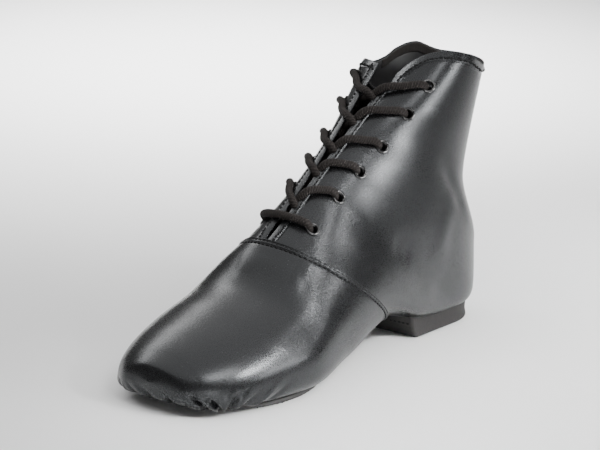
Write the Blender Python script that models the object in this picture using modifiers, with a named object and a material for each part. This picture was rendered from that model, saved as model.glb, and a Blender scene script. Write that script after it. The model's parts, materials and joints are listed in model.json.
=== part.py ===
"""Lace-up jazz ankle boot, left shoe: a soft dance shoe with a split rubber sole.

The upper is a thin leather shell. Its form is a loft through leaning sections of the last, from the toe
round the instep and heel to the collar. The other pieces are cut from the same surface, or stand under it.
Sizes are in millimetres, with x from heel to toe, y to the wearer's left and z up, and are built in metres.
"""
import math
from collections import namedtuple

import bmesh
import bpy
import numpy as np
from mathutils import Vector

MM = 0.001
WELD = 0.00001
SHARP_ANGLE = math.radians(40)
NAME = "jazz_ankle_boot"

# Clearance between pieces, and thicknesses of the leather pieces
GAP = 0.3
WALL = 1.6
SEAM_STEP = 0.9
TONGUE_THICK = 1.4
INSOLE_THICK = 1.8
STAY_THICK = 1.0

# Sections of the last from toe to collar. Each lies in a plane that leans from a point under the foot
# (bottom) to a point on the instep (top). Left and right are half widths about the middle, widest is the
# level of the greatest width as a share of the section's height, and the powers square off its two halves.
Section = namedtuple("Section", "bottom_x bottom_z top_x top_z left right middle widest low_power high_power")
SECTIONS = (
    Section(250.0, 15.0, 250.0, 15.0, 0.0, 0.0, -2.3, 0.50, 2.0, 2.0),
    Section(249.0, 7.5, 247.5, 21.5, 15.0, 15.0, -2.3, 0.43, 2.1, 2.0),
    Section(244.0, 2.2, 240.0, 27.5, 25.7, 25.2, -2.0, 0.40, 2.5, 2.0),
    Section(232.0, -1.0, 226.0, 34.0, 35.0, 34.0, -1.6, 0.37, 2.8, 2.0),
    Section(209.0, -2.0, 204.0, 41.5, 42.0, 40.8, -1.0, 0.36, 3.0, 2.0),
    Section(178.0, -2.0, 185.0, 48.5, 45.3, 43.6, 0.0, 0.36, 3.0, 2.0),
    Section(140.0, 2.0, 173.0, 61.0, 41.7, 38.5, 0.0, 0.40, 2.6, 2.0),
    Section(92.0, 12.5, 166.0, 68.0, 38.0, 33.0, 0.0, 0.44, 2.3, 2.0),
    Section(62.0, 7.0, 149.0, 79.5, 34.3, 31.6, 0.0, 0.42, 4.2, 2.0),
    Section(28.0, 4.5, 134.0, 90.3, 30.6, 30.6, 0.0, 0.42, 5.5, 2.0),
    Section(5.0, 10.5, 122.0, 99.0, 31.4, 31.0, 0.0, 0.42, 3.0, 2.0),
    Section(-0.5, 34.0, 111.5, 106.5, 31.4, 31.0, 0.0, 0.42, 2.1, 2.0),
    Section(10.5, 72.0, 98.5, 116.0, 28.5, 28.5, 0.0, 0.46, 2.0, 2.0),
    Section(6.5, 104.0, 86.0, 125.0, 30.0, 29.0, 0.0, 0.50, 2.0, 2.0),
    Section(2.5, 130.0, 76.0, 132.5, 31.5, 29.5, 0.0, 0.50, 2.0, 2.0),
    Section(0.2, 157.5, 59.0, 150.0, 33.2, 30.6, 0.0, 0.50, 2.0, 2.0),
)
SEAM_SECTION = 7
SEAM = SEAM_SECTION / (len(SECTIONS) - 1)

# Lowest level of the upper along its length: heel seat, free arch, forefoot seat and toe spring
SOLE_LINE = {"x": (-5, 70, 79, 88, 130, 140, 234, 250, 255), "z": (8.4, 8.4, 8.4, 2, 2, 3.3, 3.3, 8, 10)}
SOLE_BLEND = 1.5
# Height of the collar edge over the length, on each side, with the rounded front corner
COLLAR_X = (-5, 3, 12, 22, 31, 39, 47, 53, 57, 61, 66, 70, 74, 77, 120)
COLLAR_Z = {
    "left": (137, 137, 137, 137.4, 140.7, 144.8, 147.4, 148, 147.1, 144.9, 141, 137.4, 133.9, 131.3, 131),
    "right": (137, 137, 141.2, 138.6, 134.5, 133.5, 134.5, 136.5, 138.3, 139.6, 140.3, 139, 136.5, 134, 134),
}
# Distance of each facing's edge from the middle of the throat
THROAT_T = (SEAM, 0.5, 0.55, 0.62, 0.7, 0.8, 0.9, 1.0)
THROAT_HALF = {
    "left": (0.6, 1.1, 1.1, 1.0, 1.3, 2.0, 3.0, 3.8),
    "right": (0.6, 1.3, 1.5, 1.8, 2.75, 4.5, 6.4, 6.5),
}

# Mesh counts: rows along the vamp and the quarters, columns round half a section
VAMP_ROWS = 15
QUARTER_ROWS = 18
COLUMNS = 20
# Run of the step behind the vamp's edge, as a share of a quarter's length
SEAM_STEP_RUN = 0.012
# Range of t where the collar line is looked for, and the angle past the facing edge where an eyelet is
COLLAR_SEARCH_FROM = 0.75
EYELET_SEARCH_ANGLE = 1.5
SEARCH_STEPS = 300

# Insole: the part of the vamp's mesh that it follows, and its narrower run behind the seam
INSOLE_FIRST_ROW = 5
INSOLE_FIRST_COLUMN = 15
INSOLE_BACK = 0.615
INSOLE_BACK_ROWS = 7
INSOLE_NARROWING = 0.45
# Tongue: depth under the last, half width, and its ends
TONGUE_DEPTH = {"t": (SEAM, 0.5, 0.55, 1), "depth": (2.9, 5.5, 7, 7)}
TONGUE_WIDTH = {"t": (SEAM, 0.6, 1), "half": (22, 25, 26)}
TONGUE_FIRST = SEAM + 0.004
TONGUE_LAST = 0.935
TONGUE_ROWS = 15
TONGUE_COLUMNS = 11
# Back stay: half width from the heel up to the collar, and its ends
STAY_WIDTH = {"t": (0.66, 0.72, 0.8, 1), "half": (14, 12, 8.5, 6.5)}
STAY_FIRST = 0.668
STAY_UNDER_COLLAR = 0.004
STAY_ROWS = 15
STAY_COLUMNS = 7

# Forefoot sole: an oval patch, a little narrower behind. Heel: a block with a straight leaning breast.
PATCH_CENTRE_X = 186.0
PATCH_LENGTH = 96.0
PATCH_WIDTH = 76.0
PATCH_THICK = 3.0
PATCH_TAPER = 0.05
PATCH_POINTS = 48
HEEL_BACK_X = 5.0
HEEL_BREAST_X = 70.0
HEEL_BREAST_LEAN = 5.5
HEEL_WIDTH = 52.0
HEEL_ROUND_X = 34.0
HEEL_HEIGHT = 9.0
HEEL_POINTS = 25
EDGE_ROUND = 0.6
# Openings in the upper's bottom over the two soles: inset from their outlines, and levels of the cut
OPENING_INSET = 9.0
OPENING_BOTTOM = -2.0
PATCH_OPENING_TOP = 8.0
HEEL_OPENING_TOP = 14.0

# Eyelets: six on each facing, set back from its edge. Lace: a round braided cord.
EYELET_COUNT = 6
EYELET_FIRST = 0.516
EYELET_LAST = 0.931
EYELET_OFFSETS = (17.35, 18.6, 20.3, 22.6, 24.9, 27.1)
EYELET_FLANGE_RADIUS = 3.7
EYELET_BARREL_RADIUS = 2.6
EYELET_BORE_RADIUS = 2.1
EYELET_HOLE_RADIUS = 3.0
EYELET_HOLE_DEPTH = 8.0
EYELET_FLANGE_HEIGHT = 0.9
EYELET_MOUTH_HEIGHT = 0.6
EYELET_RIM_WIDTH = 0.7
EYELET_RIM_DEPTH = 0.6
EYELET_STEPS = 10
LACE_RADIUS = 1.75
LACE_CROWN = 0.4
LACE_DIP = 0.45
LACE_POINTS = 13
LACE_SIDES = 2

SIDES = {"left": 1, "right": -1}


def smooth_curve(knots, values):
    """Return a function for a smooth curve through the values that does not overshoot them."""
    knots = np.asarray(knots, float)
    values = np.asarray(values, float).reshape(len(knots), -1)
    steps = np.diff(knots)[:, None]
    rises = np.diff(values, axis=0) / steps
    slopes = np.zeros_like(values)
    slopes[0] = rises[0]
    slopes[-1] = rises[-1]
    weight_before = 2 * steps[1:] + steps[:-1]
    weight_after = steps[1:] + 2 * steps[:-1]
    same_way = rises[1:] * rises[:-1] > 0
    before = np.where(same_way, rises[:-1], 1)
    after = np.where(same_way, rises[1:], 1)
    mean = (weight_before + weight_after) / (weight_before / before + weight_after / after)
    slopes[1:-1] = np.where(same_way, mean, 0)

    def at(place):
        place = np.asarray(place, float)
        flat = place.ravel()
        index = np.clip(np.searchsorted(knots, flat, side="right") - 1, 0, len(knots) - 2)
        step = (knots[index + 1] - knots[index])[:, None]
        part = (flat - knots[index])[:, None] / step
        low = (1 + 2 * part) * values[index] + part * step * slopes[index]
        high = (3 - 2 * part) * values[index + 1] + (part - 1) * step * slopes[index + 1]
        return ((1 - part) ** 2 * low + part**2 * high).reshape(place.shape + (values.shape[1],))

    return at


section_at = smooth_curve(np.linspace(0, 1, len(SECTIONS)), SECTIONS)
sole_line_at = smooth_curve(SOLE_LINE["x"], SOLE_LINE["z"])
throat_at = {side: smooth_curve(THROAT_T, halves) for side, halves in THROAT_HALF.items()}
collar_at = {side: smooth_curve(COLLAR_X, heights) for side, heights in COLLAR_Z.items()}


def last_point(t, angle):
    """Return points of the last: t from toe 0 to collar 1, angle from instep 0 to underside pi or -pi."""
    t, angle = np.broadcast_arrays(np.asarray(t, float), np.asarray(angle, float))
    section = Section(*np.moveaxis(section_at(t), -1, 0))
    cosine = np.cos(angle)
    sine = np.sin(angle)
    upper_half = cosine >= 0
    power = 2 / np.where(upper_half, section.high_power, section.low_power)
    reach = np.where(upper_half, 1 - section.widest, -section.widest)
    level = section.widest + reach * np.abs(cosine) ** power
    width = np.where(sine >= 0, section.left, -section.right)
    x = section.bottom_x + (section.top_x - section.bottom_x) * level
    y = section.middle + width * np.abs(sine) ** power
    z = section.bottom_z + (section.top_z - section.bottom_z) * level
    floor = sole_line_at(x)[..., 0]
    z = 0.5 * (z + floor + np.sqrt((z - floor) ** 2 + SOLE_BLEND**2))
    return np.stack([x, y, z], axis=-1)


def last_normal(t, angle):
    """Return the outward normals of the last at the given places."""
    step = 0.002
    along = last_point(t + step, angle) - last_point(t - step, angle)
    around = last_point(t, angle + step) - last_point(t, angle - step)
    normal = np.cross(around, along)
    return normal / np.linalg.norm(normal, axis=-1, keepdims=True)


def raised(t, angle, height):
    """Return points that stand a height over the last, or inside it where the height is negative."""
    t, angle = np.broadcast_arrays(np.asarray(t, float), np.asarray(angle, float))
    return last_point(t, angle) + np.asarray(height)[..., None] * last_normal(t, angle)


def facing_angle(t, side):
    """Return the angle of a facing's edge at t, without its sign."""
    section = Section(*np.moveaxis(section_at(t), -1, 0))
    return np.arcsin(2 * throat_at[side](t)[..., 0] / (section.left + section.right))


def quarter_angle(t, share, side):
    """Return the angle at a share of the way from the facing edge to the back seam."""
    edge = facing_angle(t, side)
    return SIDES[side] * (edge + (math.pi - edge) * share)


def collar_end(share, side):
    """Return the t where a column of the quarter meets the collar line."""
    t = np.linspace(COLLAR_SEARCH_FROM, 1, SEARCH_STEPS)
    points = last_point(t, quarter_angle(t, share, side))
    over = points[:, 2] - collar_at[side](points[:, 0])[:, 0]
    crossing = int(np.argmax(over > 0))
    return float(np.interp(0, over[crossing - 1:crossing + 1], t[crossing - 1:crossing + 1]))


def eyelet_place(index, side):
    """Return t and angle of an eyelet, found along its section from the middle of the throat."""
    share = index / (EYELET_COUNT - 1)
    t = EYELET_FIRST + (EYELET_LAST - EYELET_FIRST) * share
    angles = np.linspace(0, EYELET_SEARCH_ANGLE, SEARCH_STEPS)
    path = last_point(t, SIDES[side] * angles)
    travel = np.concatenate([[0], np.cumsum(np.linalg.norm(np.diff(path, axis=0), axis=1))])
    return t, SIDES[side] * float(np.interp(EYELET_OFFSETS[index], travel, angles))


def material(name, colour, roughness, metallic=0.0):
    """Make a plain material."""
    made = bpy.data.materials.new(name)
    made.use_nodes = True
    shader = made.node_tree.nodes["Principled BSDF"]
    shader.inputs["Base Color"].default_value = (*colour, 1.0)
    shader.inputs["Roughness"].default_value = roughness
    shader.inputs["Metallic"].default_value = metallic
    return made


def collection(name):
    """Make a collection in the scene."""
    made = bpy.data.collections.new(name)
    bpy.context.scene.collection.children.link(made)
    return made


def add_object(name, mesh, finish=None):
    """Put a mesh into the scene as a part, or as a hidden cutter where it has no finish."""
    made = bpy.data.objects.new(name, mesh)
    made.parent = stand
    if finish is None:
        cutters.objects.link(made)
        made.hide_render = True
        made.display_type = "WIRE"
        return made
    parts.objects.link(made)
    if not mesh.materials:
        mesh.materials.append(finish)
        mesh.shade_smooth()
        mesh.set_sharp_from_angle(angle=SHARP_ANGLE)
    return made


def grid_mesh(name, grids):
    """Make one mesh from grids of points in millimetres, and weld the grids where they meet."""
    shape = bmesh.new()
    for grid in grids:
        rows = [[shape.verts.new(point * MM) for point in row] for row in grid]
        for row, following in zip(rows, rows[1:]):
            for left in range(len(row) - 1):
                shape.faces.new((row[left], row[left + 1], following[left + 1], following[left]))
    bmesh.ops.remove_doubles(shape, verts=shape.verts, dist=WELD)
    bmesh.ops.dissolve_degenerate(shape, dist=WELD, edges=shape.edges)
    bmesh.ops.recalc_face_normals(shape, faces=shape.faces)
    mesh = bpy.data.meshes.new(name)
    shape.to_mesh(mesh)
    shape.free()
    return mesh


def add_wall(target, thickness):
    """Give an open surface a wall on its inner side."""
    wall = target.modifiers.new("wall", "SOLIDIFY")
    wall.thickness = thickness * MM
    wall.offset = -1
    wall.use_even_offset = True
    wall.use_quality_normals = True


def cut(target, cutter):
    """Take a cutter's shape away from a part."""
    difference = target.modifiers.new("cut " + cutter.name, "BOOLEAN")
    difference.object = cutter
    difference.operation = "DIFFERENCE"
    difference.solver = "EXACT"


def mesh_from_curve(name, curve):
    """Turn a curve into a welded mesh."""
    holder = bpy.data.objects.new(name, curve)
    bpy.context.scene.collection.objects.link(holder)
    evaluated = holder.evaluated_get(bpy.context.evaluated_depsgraph_get())
    mesh = bpy.data.meshes.new_from_object(evaluated)
    bpy.data.objects.remove(holder)
    bpy.data.curves.remove(curve)
    shape = bmesh.new()
    shape.from_mesh(mesh)
    bmesh.ops.remove_doubles(shape, verts=shape.verts, dist=WELD)
    bmesh.ops.recalc_face_normals(shape, faces=shape.faces)
    shape.to_mesh(mesh)
    shape.free()
    return mesh


def plate_mesh(name, outline, low, high):
    """Make a flat plate from an outline, between two levels."""
    curve = bpy.data.curves.new(name, "CURVE")
    curve.dimensions = "2D"
    curve.fill_mode = "BOTH"
    curve.extrude = (high - low) / 2 * MM
    spline = curve.splines.new("POLY")
    spline.points.add(len(outline) - 1)
    for point, (x, y) in zip(spline.points, outline):
        point.co = (x * MM, y * MM, 0, 1)
    spline.use_cyclic_u = True
    mesh = mesh_from_curve(name, curve)
    for vertex in mesh.vertices:
        vertex.co.z += (high + low) / 2 * MM
    return mesh


def tube_mesh(name, points, radius):
    """Make a round cord along points in millimetres."""
    curve = bpy.data.curves.new(name, "CURVE")
    curve.dimensions = "3D"
    curve.bevel_depth = radius * MM
    curve.bevel_resolution = LACE_SIDES
    curve.use_fill_caps = True
    spline = curve.splines.new("POLY")
    spline.points.add(len(points) - 1)
    for place, point in zip(spline.points, points):
        place.co = (*(point * MM), 1)
    return mesh_from_curve(name, curve)


def round_edges(target):
    """Round the sharp edges of a moulded piece."""
    bevel = target.modifiers.new("rounded edges", "BEVEL")
    bevel.width = EDGE_ROUND * MM
    bevel.segments = 1
    bevel.limit_method = "ANGLE"


def patch_outline(inset=0.0):
    """Return the forefoot sole's outline, an oval that narrows a little towards the heel."""
    turns = np.linspace(0, 2 * math.pi, PATCH_POINTS, endpoint=False)
    x = PATCH_CENTRE_X + (PATCH_LENGTH / 2 - inset) * np.cos(turns)
    y = (PATCH_WIDTH / 2 - inset) * np.sin(turns) * (1 + PATCH_TAPER * np.cos(turns))
    return np.stack([x, y], axis=-1)


def heel_outline(inset=0.0):
    """Return the heel's outline: straight breast and sides, with a round back."""
    half = HEEL_WIDTH / 2 - inset
    turns = np.linspace(math.pi / 2, 3 * math.pi / 2, HEEL_POINTS)
    x = HEEL_ROUND_X + (HEEL_ROUND_X - HEEL_BACK_X - inset) * np.cos(turns)
    y = half * np.sin(turns)
    breast = HEEL_BREAST_X - inset
    return np.concatenate([[(breast, half)], np.stack([x, y], axis=-1), [(breast, -half)]])


def upper_mesh():
    """Make the outer skin of the upper: the vamp, and behind its raised edge the two quarters."""
    vamp_t = np.linspace(0, SEAM, VAMP_ROWS + 1)[:, None]
    vamp = last_point(vamp_t, math.pi * np.linspace(-1, 1, 2 * COLUMNS + 1))
    grids = [vamp]
    shares = np.linspace(0, 1, COLUMNS + 1)
    rows = np.linspace(SEAM_STEP_RUN, 1, QUARTER_ROWS + 1)[:, None]
    for side, sign in SIDES.items():
        ends = np.array([collar_end(share, side) for share in shares])
        t = SEAM + (ends - SEAM) * rows
        quarter = raised(t, quarter_angle(t, shares, side), -SEAM_STEP)
        quarter[:, -1, 1] = 0
        edge = last_point(SEAM, sign * math.pi * shares)
        grids.append(np.concatenate([edge[None], quarter]))
    return grid_mesh("upper", grids)


def make_upper(finish):
    """Make the upper with its wall, the openings over the two soles and the eyelet holes."""
    upper = add_object("upper", upper_mesh(), finish)
    add_wall(upper, WALL)
    openings = {
        "forefoot_opening": (patch_outline(OPENING_INSET), PATCH_OPENING_TOP),
        "heel_opening": (heel_outline(OPENING_INSET), HEEL_OPENING_TOP),
    }
    for name, (outline, top) in openings.items():
        cut(upper, add_object(name, plate_mesh(name, outline, OPENING_BOTTOM, top)))
    for side in SIDES:
        for index in range(EYELET_COUNT):
            name = f"eyelet_hole_{side}_{index + 1}"
            bpy.ops.mesh.primitive_cylinder_add(
                vertices=EYELET_STEPS, radius=EYELET_HOLE_RADIUS * MM, depth=EYELET_HOLE_DEPTH * MM)
            made = bpy.context.object
            hole = add_object(name, made.data)
            bpy.data.objects.remove(made)
            seat_on_facing(hole, index, side)
            cut(upper, hole)
    return upper


def seat_on_facing(target, index, side):
    """Place a piece on the facing, with its z axis along the leather's outward normal."""
    t, angle = eyelet_place(index, side)
    normal = Vector(last_normal(t, angle))
    target.rotation_mode = "QUATERNION"
    target.rotation_quaternion = normal.to_track_quat("Z", "Y")
    target.location = Vector(raised(t, angle, -SEAM_STEP) * MM)


def make_soles(rubber, patch_rubber):
    """Make the forefoot sole and the heel."""
    mesh = plate_mesh("forefoot_sole", patch_outline(), 0, PATCH_THICK)
    round_edges(add_object("forefoot_sole", mesh, patch_rubber))
    mesh = plate_mesh("heel", heel_outline(), 0, HEEL_HEIGHT)
    middle = Vector(((HEEL_ROUND_X + HEEL_BREAST_X) / 2 * MM, 0, HEEL_HEIGHT / 2 * MM))
    for vertex in mesh.vertices:
        if vertex.co.z > middle.z and vertex.co.x > middle.x:
            vertex.co.x += HEEL_BREAST_LEAN * MM
    round_edges(add_object("heel", mesh, rubber))


def make_insole(finish):
    """Make the sock that lies on the inside of the upper's bottom, on the vamp's own rows and columns."""
    vamp_t = np.linspace(0, SEAM, VAMP_ROWS + 1)[INSOLE_FIRST_ROW:]
    t = np.concatenate([vamp_t, np.linspace(SEAM, INSOLE_BACK, INSOLE_BACK_ROWS)[1:]])[:, None]
    spread = math.pi * np.linspace(1, 0, COLUMNS + 1)[INSOLE_FIRST_COLUMN:]
    behind_seam = np.clip((t - SEAM) / (INSOLE_BACK - SEAM), 0, 1)
    half = math.pi - spread * (1 - INSOLE_NARROWING * behind_seam)
    angles = np.concatenate([half, -half[:, -2::-1]], axis=1)
    depth = WALL + GAP + (SEAM_STEP + GAP) * (t >= vamp_t[-2])
    skin = grid_mesh("insole", [raised(t, angles, -depth)])
    add_wall(add_object("insole", skin, finish), INSOLE_THICK)


def make_tongue(finish):
    """Make the tongue, hung below the facings with room for the lace between them."""
    depth_at = smooth_curve(TONGUE_DEPTH["t"], TONGUE_DEPTH["depth"])
    half_width_at = smooth_curve(TONGUE_WIDTH["t"], TONGUE_WIDTH["half"])
    t = np.linspace(TONGUE_FIRST, TONGUE_LAST, TONGUE_ROWS)
    section = Section(*np.moveaxis(section_at(t), -1, 0))
    reach = np.arcsin(2 * half_width_at(t)[:, 0] / (section.left + section.right))
    angles = reach[:, None] * np.linspace(-1, 1, TONGUE_COLUMNS)
    skin = grid_mesh("tongue", [raised(t[:, None], angles, -depth_at(t))])
    add_wall(add_object("tongue", skin, finish), TONGUE_THICK)


def make_back_stay(finish):
    """Make the strip over the back seam, narrow at the collar and wider at the heel."""
    half_width_at = smooth_curve(STAY_WIDTH["t"], STAY_WIDTH["half"])
    end = min(collar_end(1, side) for side in SIDES) - STAY_UNDER_COLLAR
    t = np.linspace(STAY_FIRST, end, STAY_ROWS)
    section = Section(*np.moveaxis(section_at(t), -1, 0))
    width_share = 2 * half_width_at(t)[:, 0] / (section.left + section.right)
    reach = np.arcsin(width_share ** (section.low_power / 2))
    turns = reach[:, None] * np.linspace(-1, 1, STAY_COLUMNS)
    angles = np.where(turns < 0, math.pi + turns, turns - math.pi)
    angles[:, STAY_COLUMNS // 2] = math.pi
    skin = grid_mesh("back_stay", [raised(t[:, None], angles, GAP + STAY_THICK - SEAM_STEP)])
    add_wall(add_object("back_stay", skin, finish), STAY_THICK)


def eyelet_mesh():
    """Make an eyelet: a turned ring with a domed flange outside and a rolled rim inside."""
    inside = -WALL - 2 * GAP
    profile = (
        (EYELET_BORE_RADIUS, GAP + EYELET_MOUTH_HEIGHT),
        ((EYELET_BORE_RADIUS + EYELET_FLANGE_RADIUS) / 2, GAP + EYELET_FLANGE_HEIGHT),
        (EYELET_FLANGE_RADIUS, GAP),
        (EYELET_BARREL_RADIUS, GAP),
        (EYELET_BARREL_RADIUS, inside),
        (EYELET_BARREL_RADIUS + EYELET_RIM_WIDTH, inside),
        (EYELET_BORE_RADIUS, inside - EYELET_RIM_DEPTH),
    )
    shape = bmesh.new()
    ring = [shape.verts.new((radius * MM, 0, height * MM)) for radius, height in profile]
    for first, second in zip(ring, ring[1:] + ring[:1]):
        shape.edges.new((first, second))
    mesh = bpy.data.meshes.new("eyelet profile")
    shape.to_mesh(mesh)
    shape.free()
    holder = bpy.data.objects.new("eyelet profile", mesh)
    bpy.context.scene.collection.objects.link(holder)
    screw = holder.modifiers.new("turned", "SCREW")
    screw.steps = EYELET_STEPS
    screw.render_steps = EYELET_STEPS
    screw.use_merge_vertices = True
    screw.merge_threshold = WELD
    evaluated = holder.evaluated_get(bpy.context.evaluated_depsgraph_get())
    turned = bpy.data.meshes.new_from_object(evaluated)
    bpy.data.objects.remove(holder)
    return turned


def make_eyelets(finish):
    """Set an eyelet into each hole of the facings."""
    mesh = eyelet_mesh()
    for side in SIDES:
        for index in range(EYELET_COUNT):
            seat_on_facing(add_object(f"eyelet_{side}_{index + 1}", mesh, finish), index, side)


def lace_path(index, dip):
    """Return the lace's path between the two eyelets of a row, with its middle lower by dip."""
    t, left = eyelet_place(index, "left")
    right = eyelet_place(index, "right")[1]
    share = np.linspace(0, 1, LACE_POINTS)
    middle = np.sin(math.pi * share)
    end_height = GAP + EYELET_FLANGE_HEIGHT + GAP + LACE_RADIUS - SEAM_STEP
    return raised(t - dip * middle**2, left + (right - left) * share, end_height + LACE_CROWN * middle)


def make_lace(finish):
    """Make the straight bar over the lowest eyelets, and the crossings above it."""
    step = (EYELET_LAST - EYELET_FIRST) / (EYELET_COUNT - 1)
    for index in range(EYELET_COUNT):
        name = f"lace_cross_{index}" if index else "lace_bar"
        dip = LACE_DIP * step if index else 0.0
        add_object(name, tube_mesh(name, lace_path(index, dip), LACE_RADIUS), finish)


def centre_on_floor():
    """Move the shoe so that the origin lies under the middle of its box, on the floor."""
    depsgraph = bpy.context.evaluated_depsgraph_get()
    points = []
    for part in parts.objects:
        if part.type == "MESH":
            evaluated = part.evaluated_get(depsgraph)
            points += [evaluated.matrix_world @ vertex.co for vertex in evaluated.data.vertices]
    points = np.array(points)
    low = points.min(axis=0)
    high = points.max(axis=0)
    stand.location = Vector((-(low[0] + high[0]) / 2, -(low[1] + high[1]) / 2, -low[2]))


for old in list(bpy.data.objects):
    bpy.data.objects.remove(old)
parts = collection(NAME)
cutters = collection("cutters")
stand = bpy.data.objects.new("stand", None)
parts.objects.link(stand)

leather = material("black leather", (0.020, 0.020, 0.022), 0.42)
lining = material("black lining", (0.025, 0.025, 0.026), 0.75)
heel_rubber = material("heel rubber", (0.028, 0.025, 0.024), 0.65)
sole_rubber = material("sole rubber", (0.045, 0.045, 0.045), 0.8)
black_metal = material("black metal", (0.012, 0.012, 0.013), 0.22, 0.8)
cord = material("black cord", (0.026, 0.023, 0.022), 0.9)

make_upper(leather)
make_soles(heel_rubber, sole_rubber)
make_insole(lining)
make_tongue(leather)
make_back_stay(leather)
make_eyelets(black_metal)
make_lace(cord)
centre_on_floor()
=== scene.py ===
"""Lace-up jazz ankle boot, left shoe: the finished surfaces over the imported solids.

The leather pieces are cut from the same last as the solids, at a finer grain, with the creases, pleats and
seams that lasting and wear give them. Places are in the last's own millimetres, with x from heel to toe, y
to the wearer's left and z up, and go into the frame's metres at the end.
"""

import json
import math
from collections import namedtuple

import bmesh
import bpy
import numpy as np
from bpy.props import FloatProperty, FloatVectorProperty, IntProperty, PointerProperty
from mathutils import Matrix, Vector
from mathutils.bvhtree import BVHTree
from mathutils.kdtree import KDTree

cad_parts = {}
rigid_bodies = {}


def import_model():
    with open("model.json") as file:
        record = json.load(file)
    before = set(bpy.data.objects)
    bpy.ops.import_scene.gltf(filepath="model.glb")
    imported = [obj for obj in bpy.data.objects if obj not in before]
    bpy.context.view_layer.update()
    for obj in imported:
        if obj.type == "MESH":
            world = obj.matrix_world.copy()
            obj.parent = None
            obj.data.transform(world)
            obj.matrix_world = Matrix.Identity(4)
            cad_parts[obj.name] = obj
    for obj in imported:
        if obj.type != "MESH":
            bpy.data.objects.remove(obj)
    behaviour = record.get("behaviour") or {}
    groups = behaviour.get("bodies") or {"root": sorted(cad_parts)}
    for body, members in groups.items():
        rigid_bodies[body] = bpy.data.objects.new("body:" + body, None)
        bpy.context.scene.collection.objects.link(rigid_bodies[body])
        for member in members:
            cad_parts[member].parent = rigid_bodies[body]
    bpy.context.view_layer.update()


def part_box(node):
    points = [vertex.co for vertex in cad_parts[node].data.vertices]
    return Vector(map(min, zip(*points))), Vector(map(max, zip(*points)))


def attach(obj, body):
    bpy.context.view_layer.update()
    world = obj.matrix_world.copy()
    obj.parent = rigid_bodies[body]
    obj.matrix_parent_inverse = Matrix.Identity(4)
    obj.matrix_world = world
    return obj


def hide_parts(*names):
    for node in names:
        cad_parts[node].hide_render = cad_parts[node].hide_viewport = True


bl_info = {
    "name": "Jazz Ankle Boot",
    "version": (1, 0, 0),
    "blender": (4, 5, 0),
    "location": "View3D > Sidebar > Jazz Boot",
    "description": "Makes the leather, cord, rubber and metal pieces of a lace-up jazz ankle boot",
    "category": "Object",
}

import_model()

MM = 0.001
WELD = 0.000004
SLIVER = WELD / 10

# Sections of the last from toe to collar. Each lies in a plane that leans from a point under the foot
# (bottom) to a point on the instep (top). Left and right are half widths about the middle, widest is the
# level of the greatest width as a share of the section's height, and the powers square off its two halves.
Section = namedtuple(
    "Section", "bottom_x bottom_z top_x top_z left right middle widest low_power high_power")
SECTIONS = (
    Section(250.0, 15.0, 250.0, 15.0, 0.0, 0.0, -2.3, 0.50, 2.0, 2.0),
    Section(249.0, 7.5, 247.5, 21.5, 15.0, 15.0, -2.3, 0.43, 2.1, 2.0),
    Section(244.0, 2.2, 240.0, 27.5, 25.7, 25.2, -2.0, 0.40, 2.5, 2.0),
    Section(232.0, -1.0, 226.0, 34.0, 35.0, 34.0, -1.6, 0.37, 2.8, 2.0),
    Section(209.0, -2.0, 204.0, 41.5, 42.0, 40.8, -1.0, 0.36, 3.0, 2.0),
    Section(178.0, -2.0, 185.0, 48.5, 45.3, 43.6, 0.0, 0.36, 3.0, 2.0),
    Section(140.0, 2.0, 173.0, 61.0, 41.7, 38.5, 0.0, 0.40, 2.6, 2.0),
    Section(92.0, 12.5, 166.0, 68.0, 38.0, 33.0, 0.0, 0.44, 2.3, 2.0),
    Section(62.0, 7.0, 149.0, 79.5, 34.3, 31.6, 0.0, 0.42, 4.2, 2.0),
    Section(28.0, 4.5, 134.0, 90.3, 30.6, 30.6, 0.0, 0.42, 5.5, 2.0),
    Section(5.0, 10.5, 122.0, 99.0, 31.4, 31.0, 0.0, 0.42, 3.0, 2.0),
    Section(-0.5, 34.0, 111.5, 106.5, 31.4, 31.0, 0.0, 0.42, 2.1, 2.0),
    Section(10.5, 72.0, 98.5, 116.0, 28.5, 28.5, 0.0, 0.46, 2.0, 2.0),
    Section(6.5, 104.0, 86.0, 125.0, 30.0, 29.0, 0.0, 0.50, 2.0, 2.0),
    Section(2.5, 130.0, 76.0, 132.5, 31.5, 29.5, 0.0, 0.50, 2.0, 2.0),
    Section(0.2, 157.5, 59.0, 150.0, 33.2, 30.6, 0.0, 0.50, 2.0, 2.0),
)
SEAM_SECTION = 7
SEAM = SEAM_SECTION / (len(SECTIONS) - 1)
SOLE_LINE = {"x": (-5, 70, 79, 88, 130, 140, 234, 250, 255), "z": (8.4, 8.4, 8.4, 2, 2, 3.3, 3.3, 8, 10)}
SOLE_BLEND = 1.5
COLLAR_X = (-5, 3, 12, 22, 31, 39, 47, 53, 57, 61, 66, 70, 74, 77, 120)
COLLAR_Z = {
    "left": (137, 137, 137, 137.4, 140.7, 144.8, 147.4, 148, 147.1, 144.9, 141, 137.4, 133.9, 131.3, 131),
    "right": (
        137, 137, 141.2, 138.6, 134.5, 133.5, 134.5, 136.5, 138.3, 139.6, 140.3, 139, 136.5, 134, 134),
}
THROAT_T = (SEAM, 0.5, 0.55, 0.62, 0.7, 0.8, 0.9, 1.0)
THROAT_HALF = {
    "left": (0.6, 1.1, 1.1, 1.0, 1.3, 2.0, 3.0, 3.8),
    "right": (0.6, 1.3, 1.5, 1.8, 2.75, 4.5, 6.4, 6.5),
}
SIDES = {"left": 1, "right": -1}
NORMAL_STEP = 0.002
TOE_TIP = 0.004
COLLAR_SEARCH_FROM = 0.75
SEARCH_STEPS = 300
SEARCH_REACH = 0.16
PATH_PROBE = 0.3
EDGE_PITCH = 0.1

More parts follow.
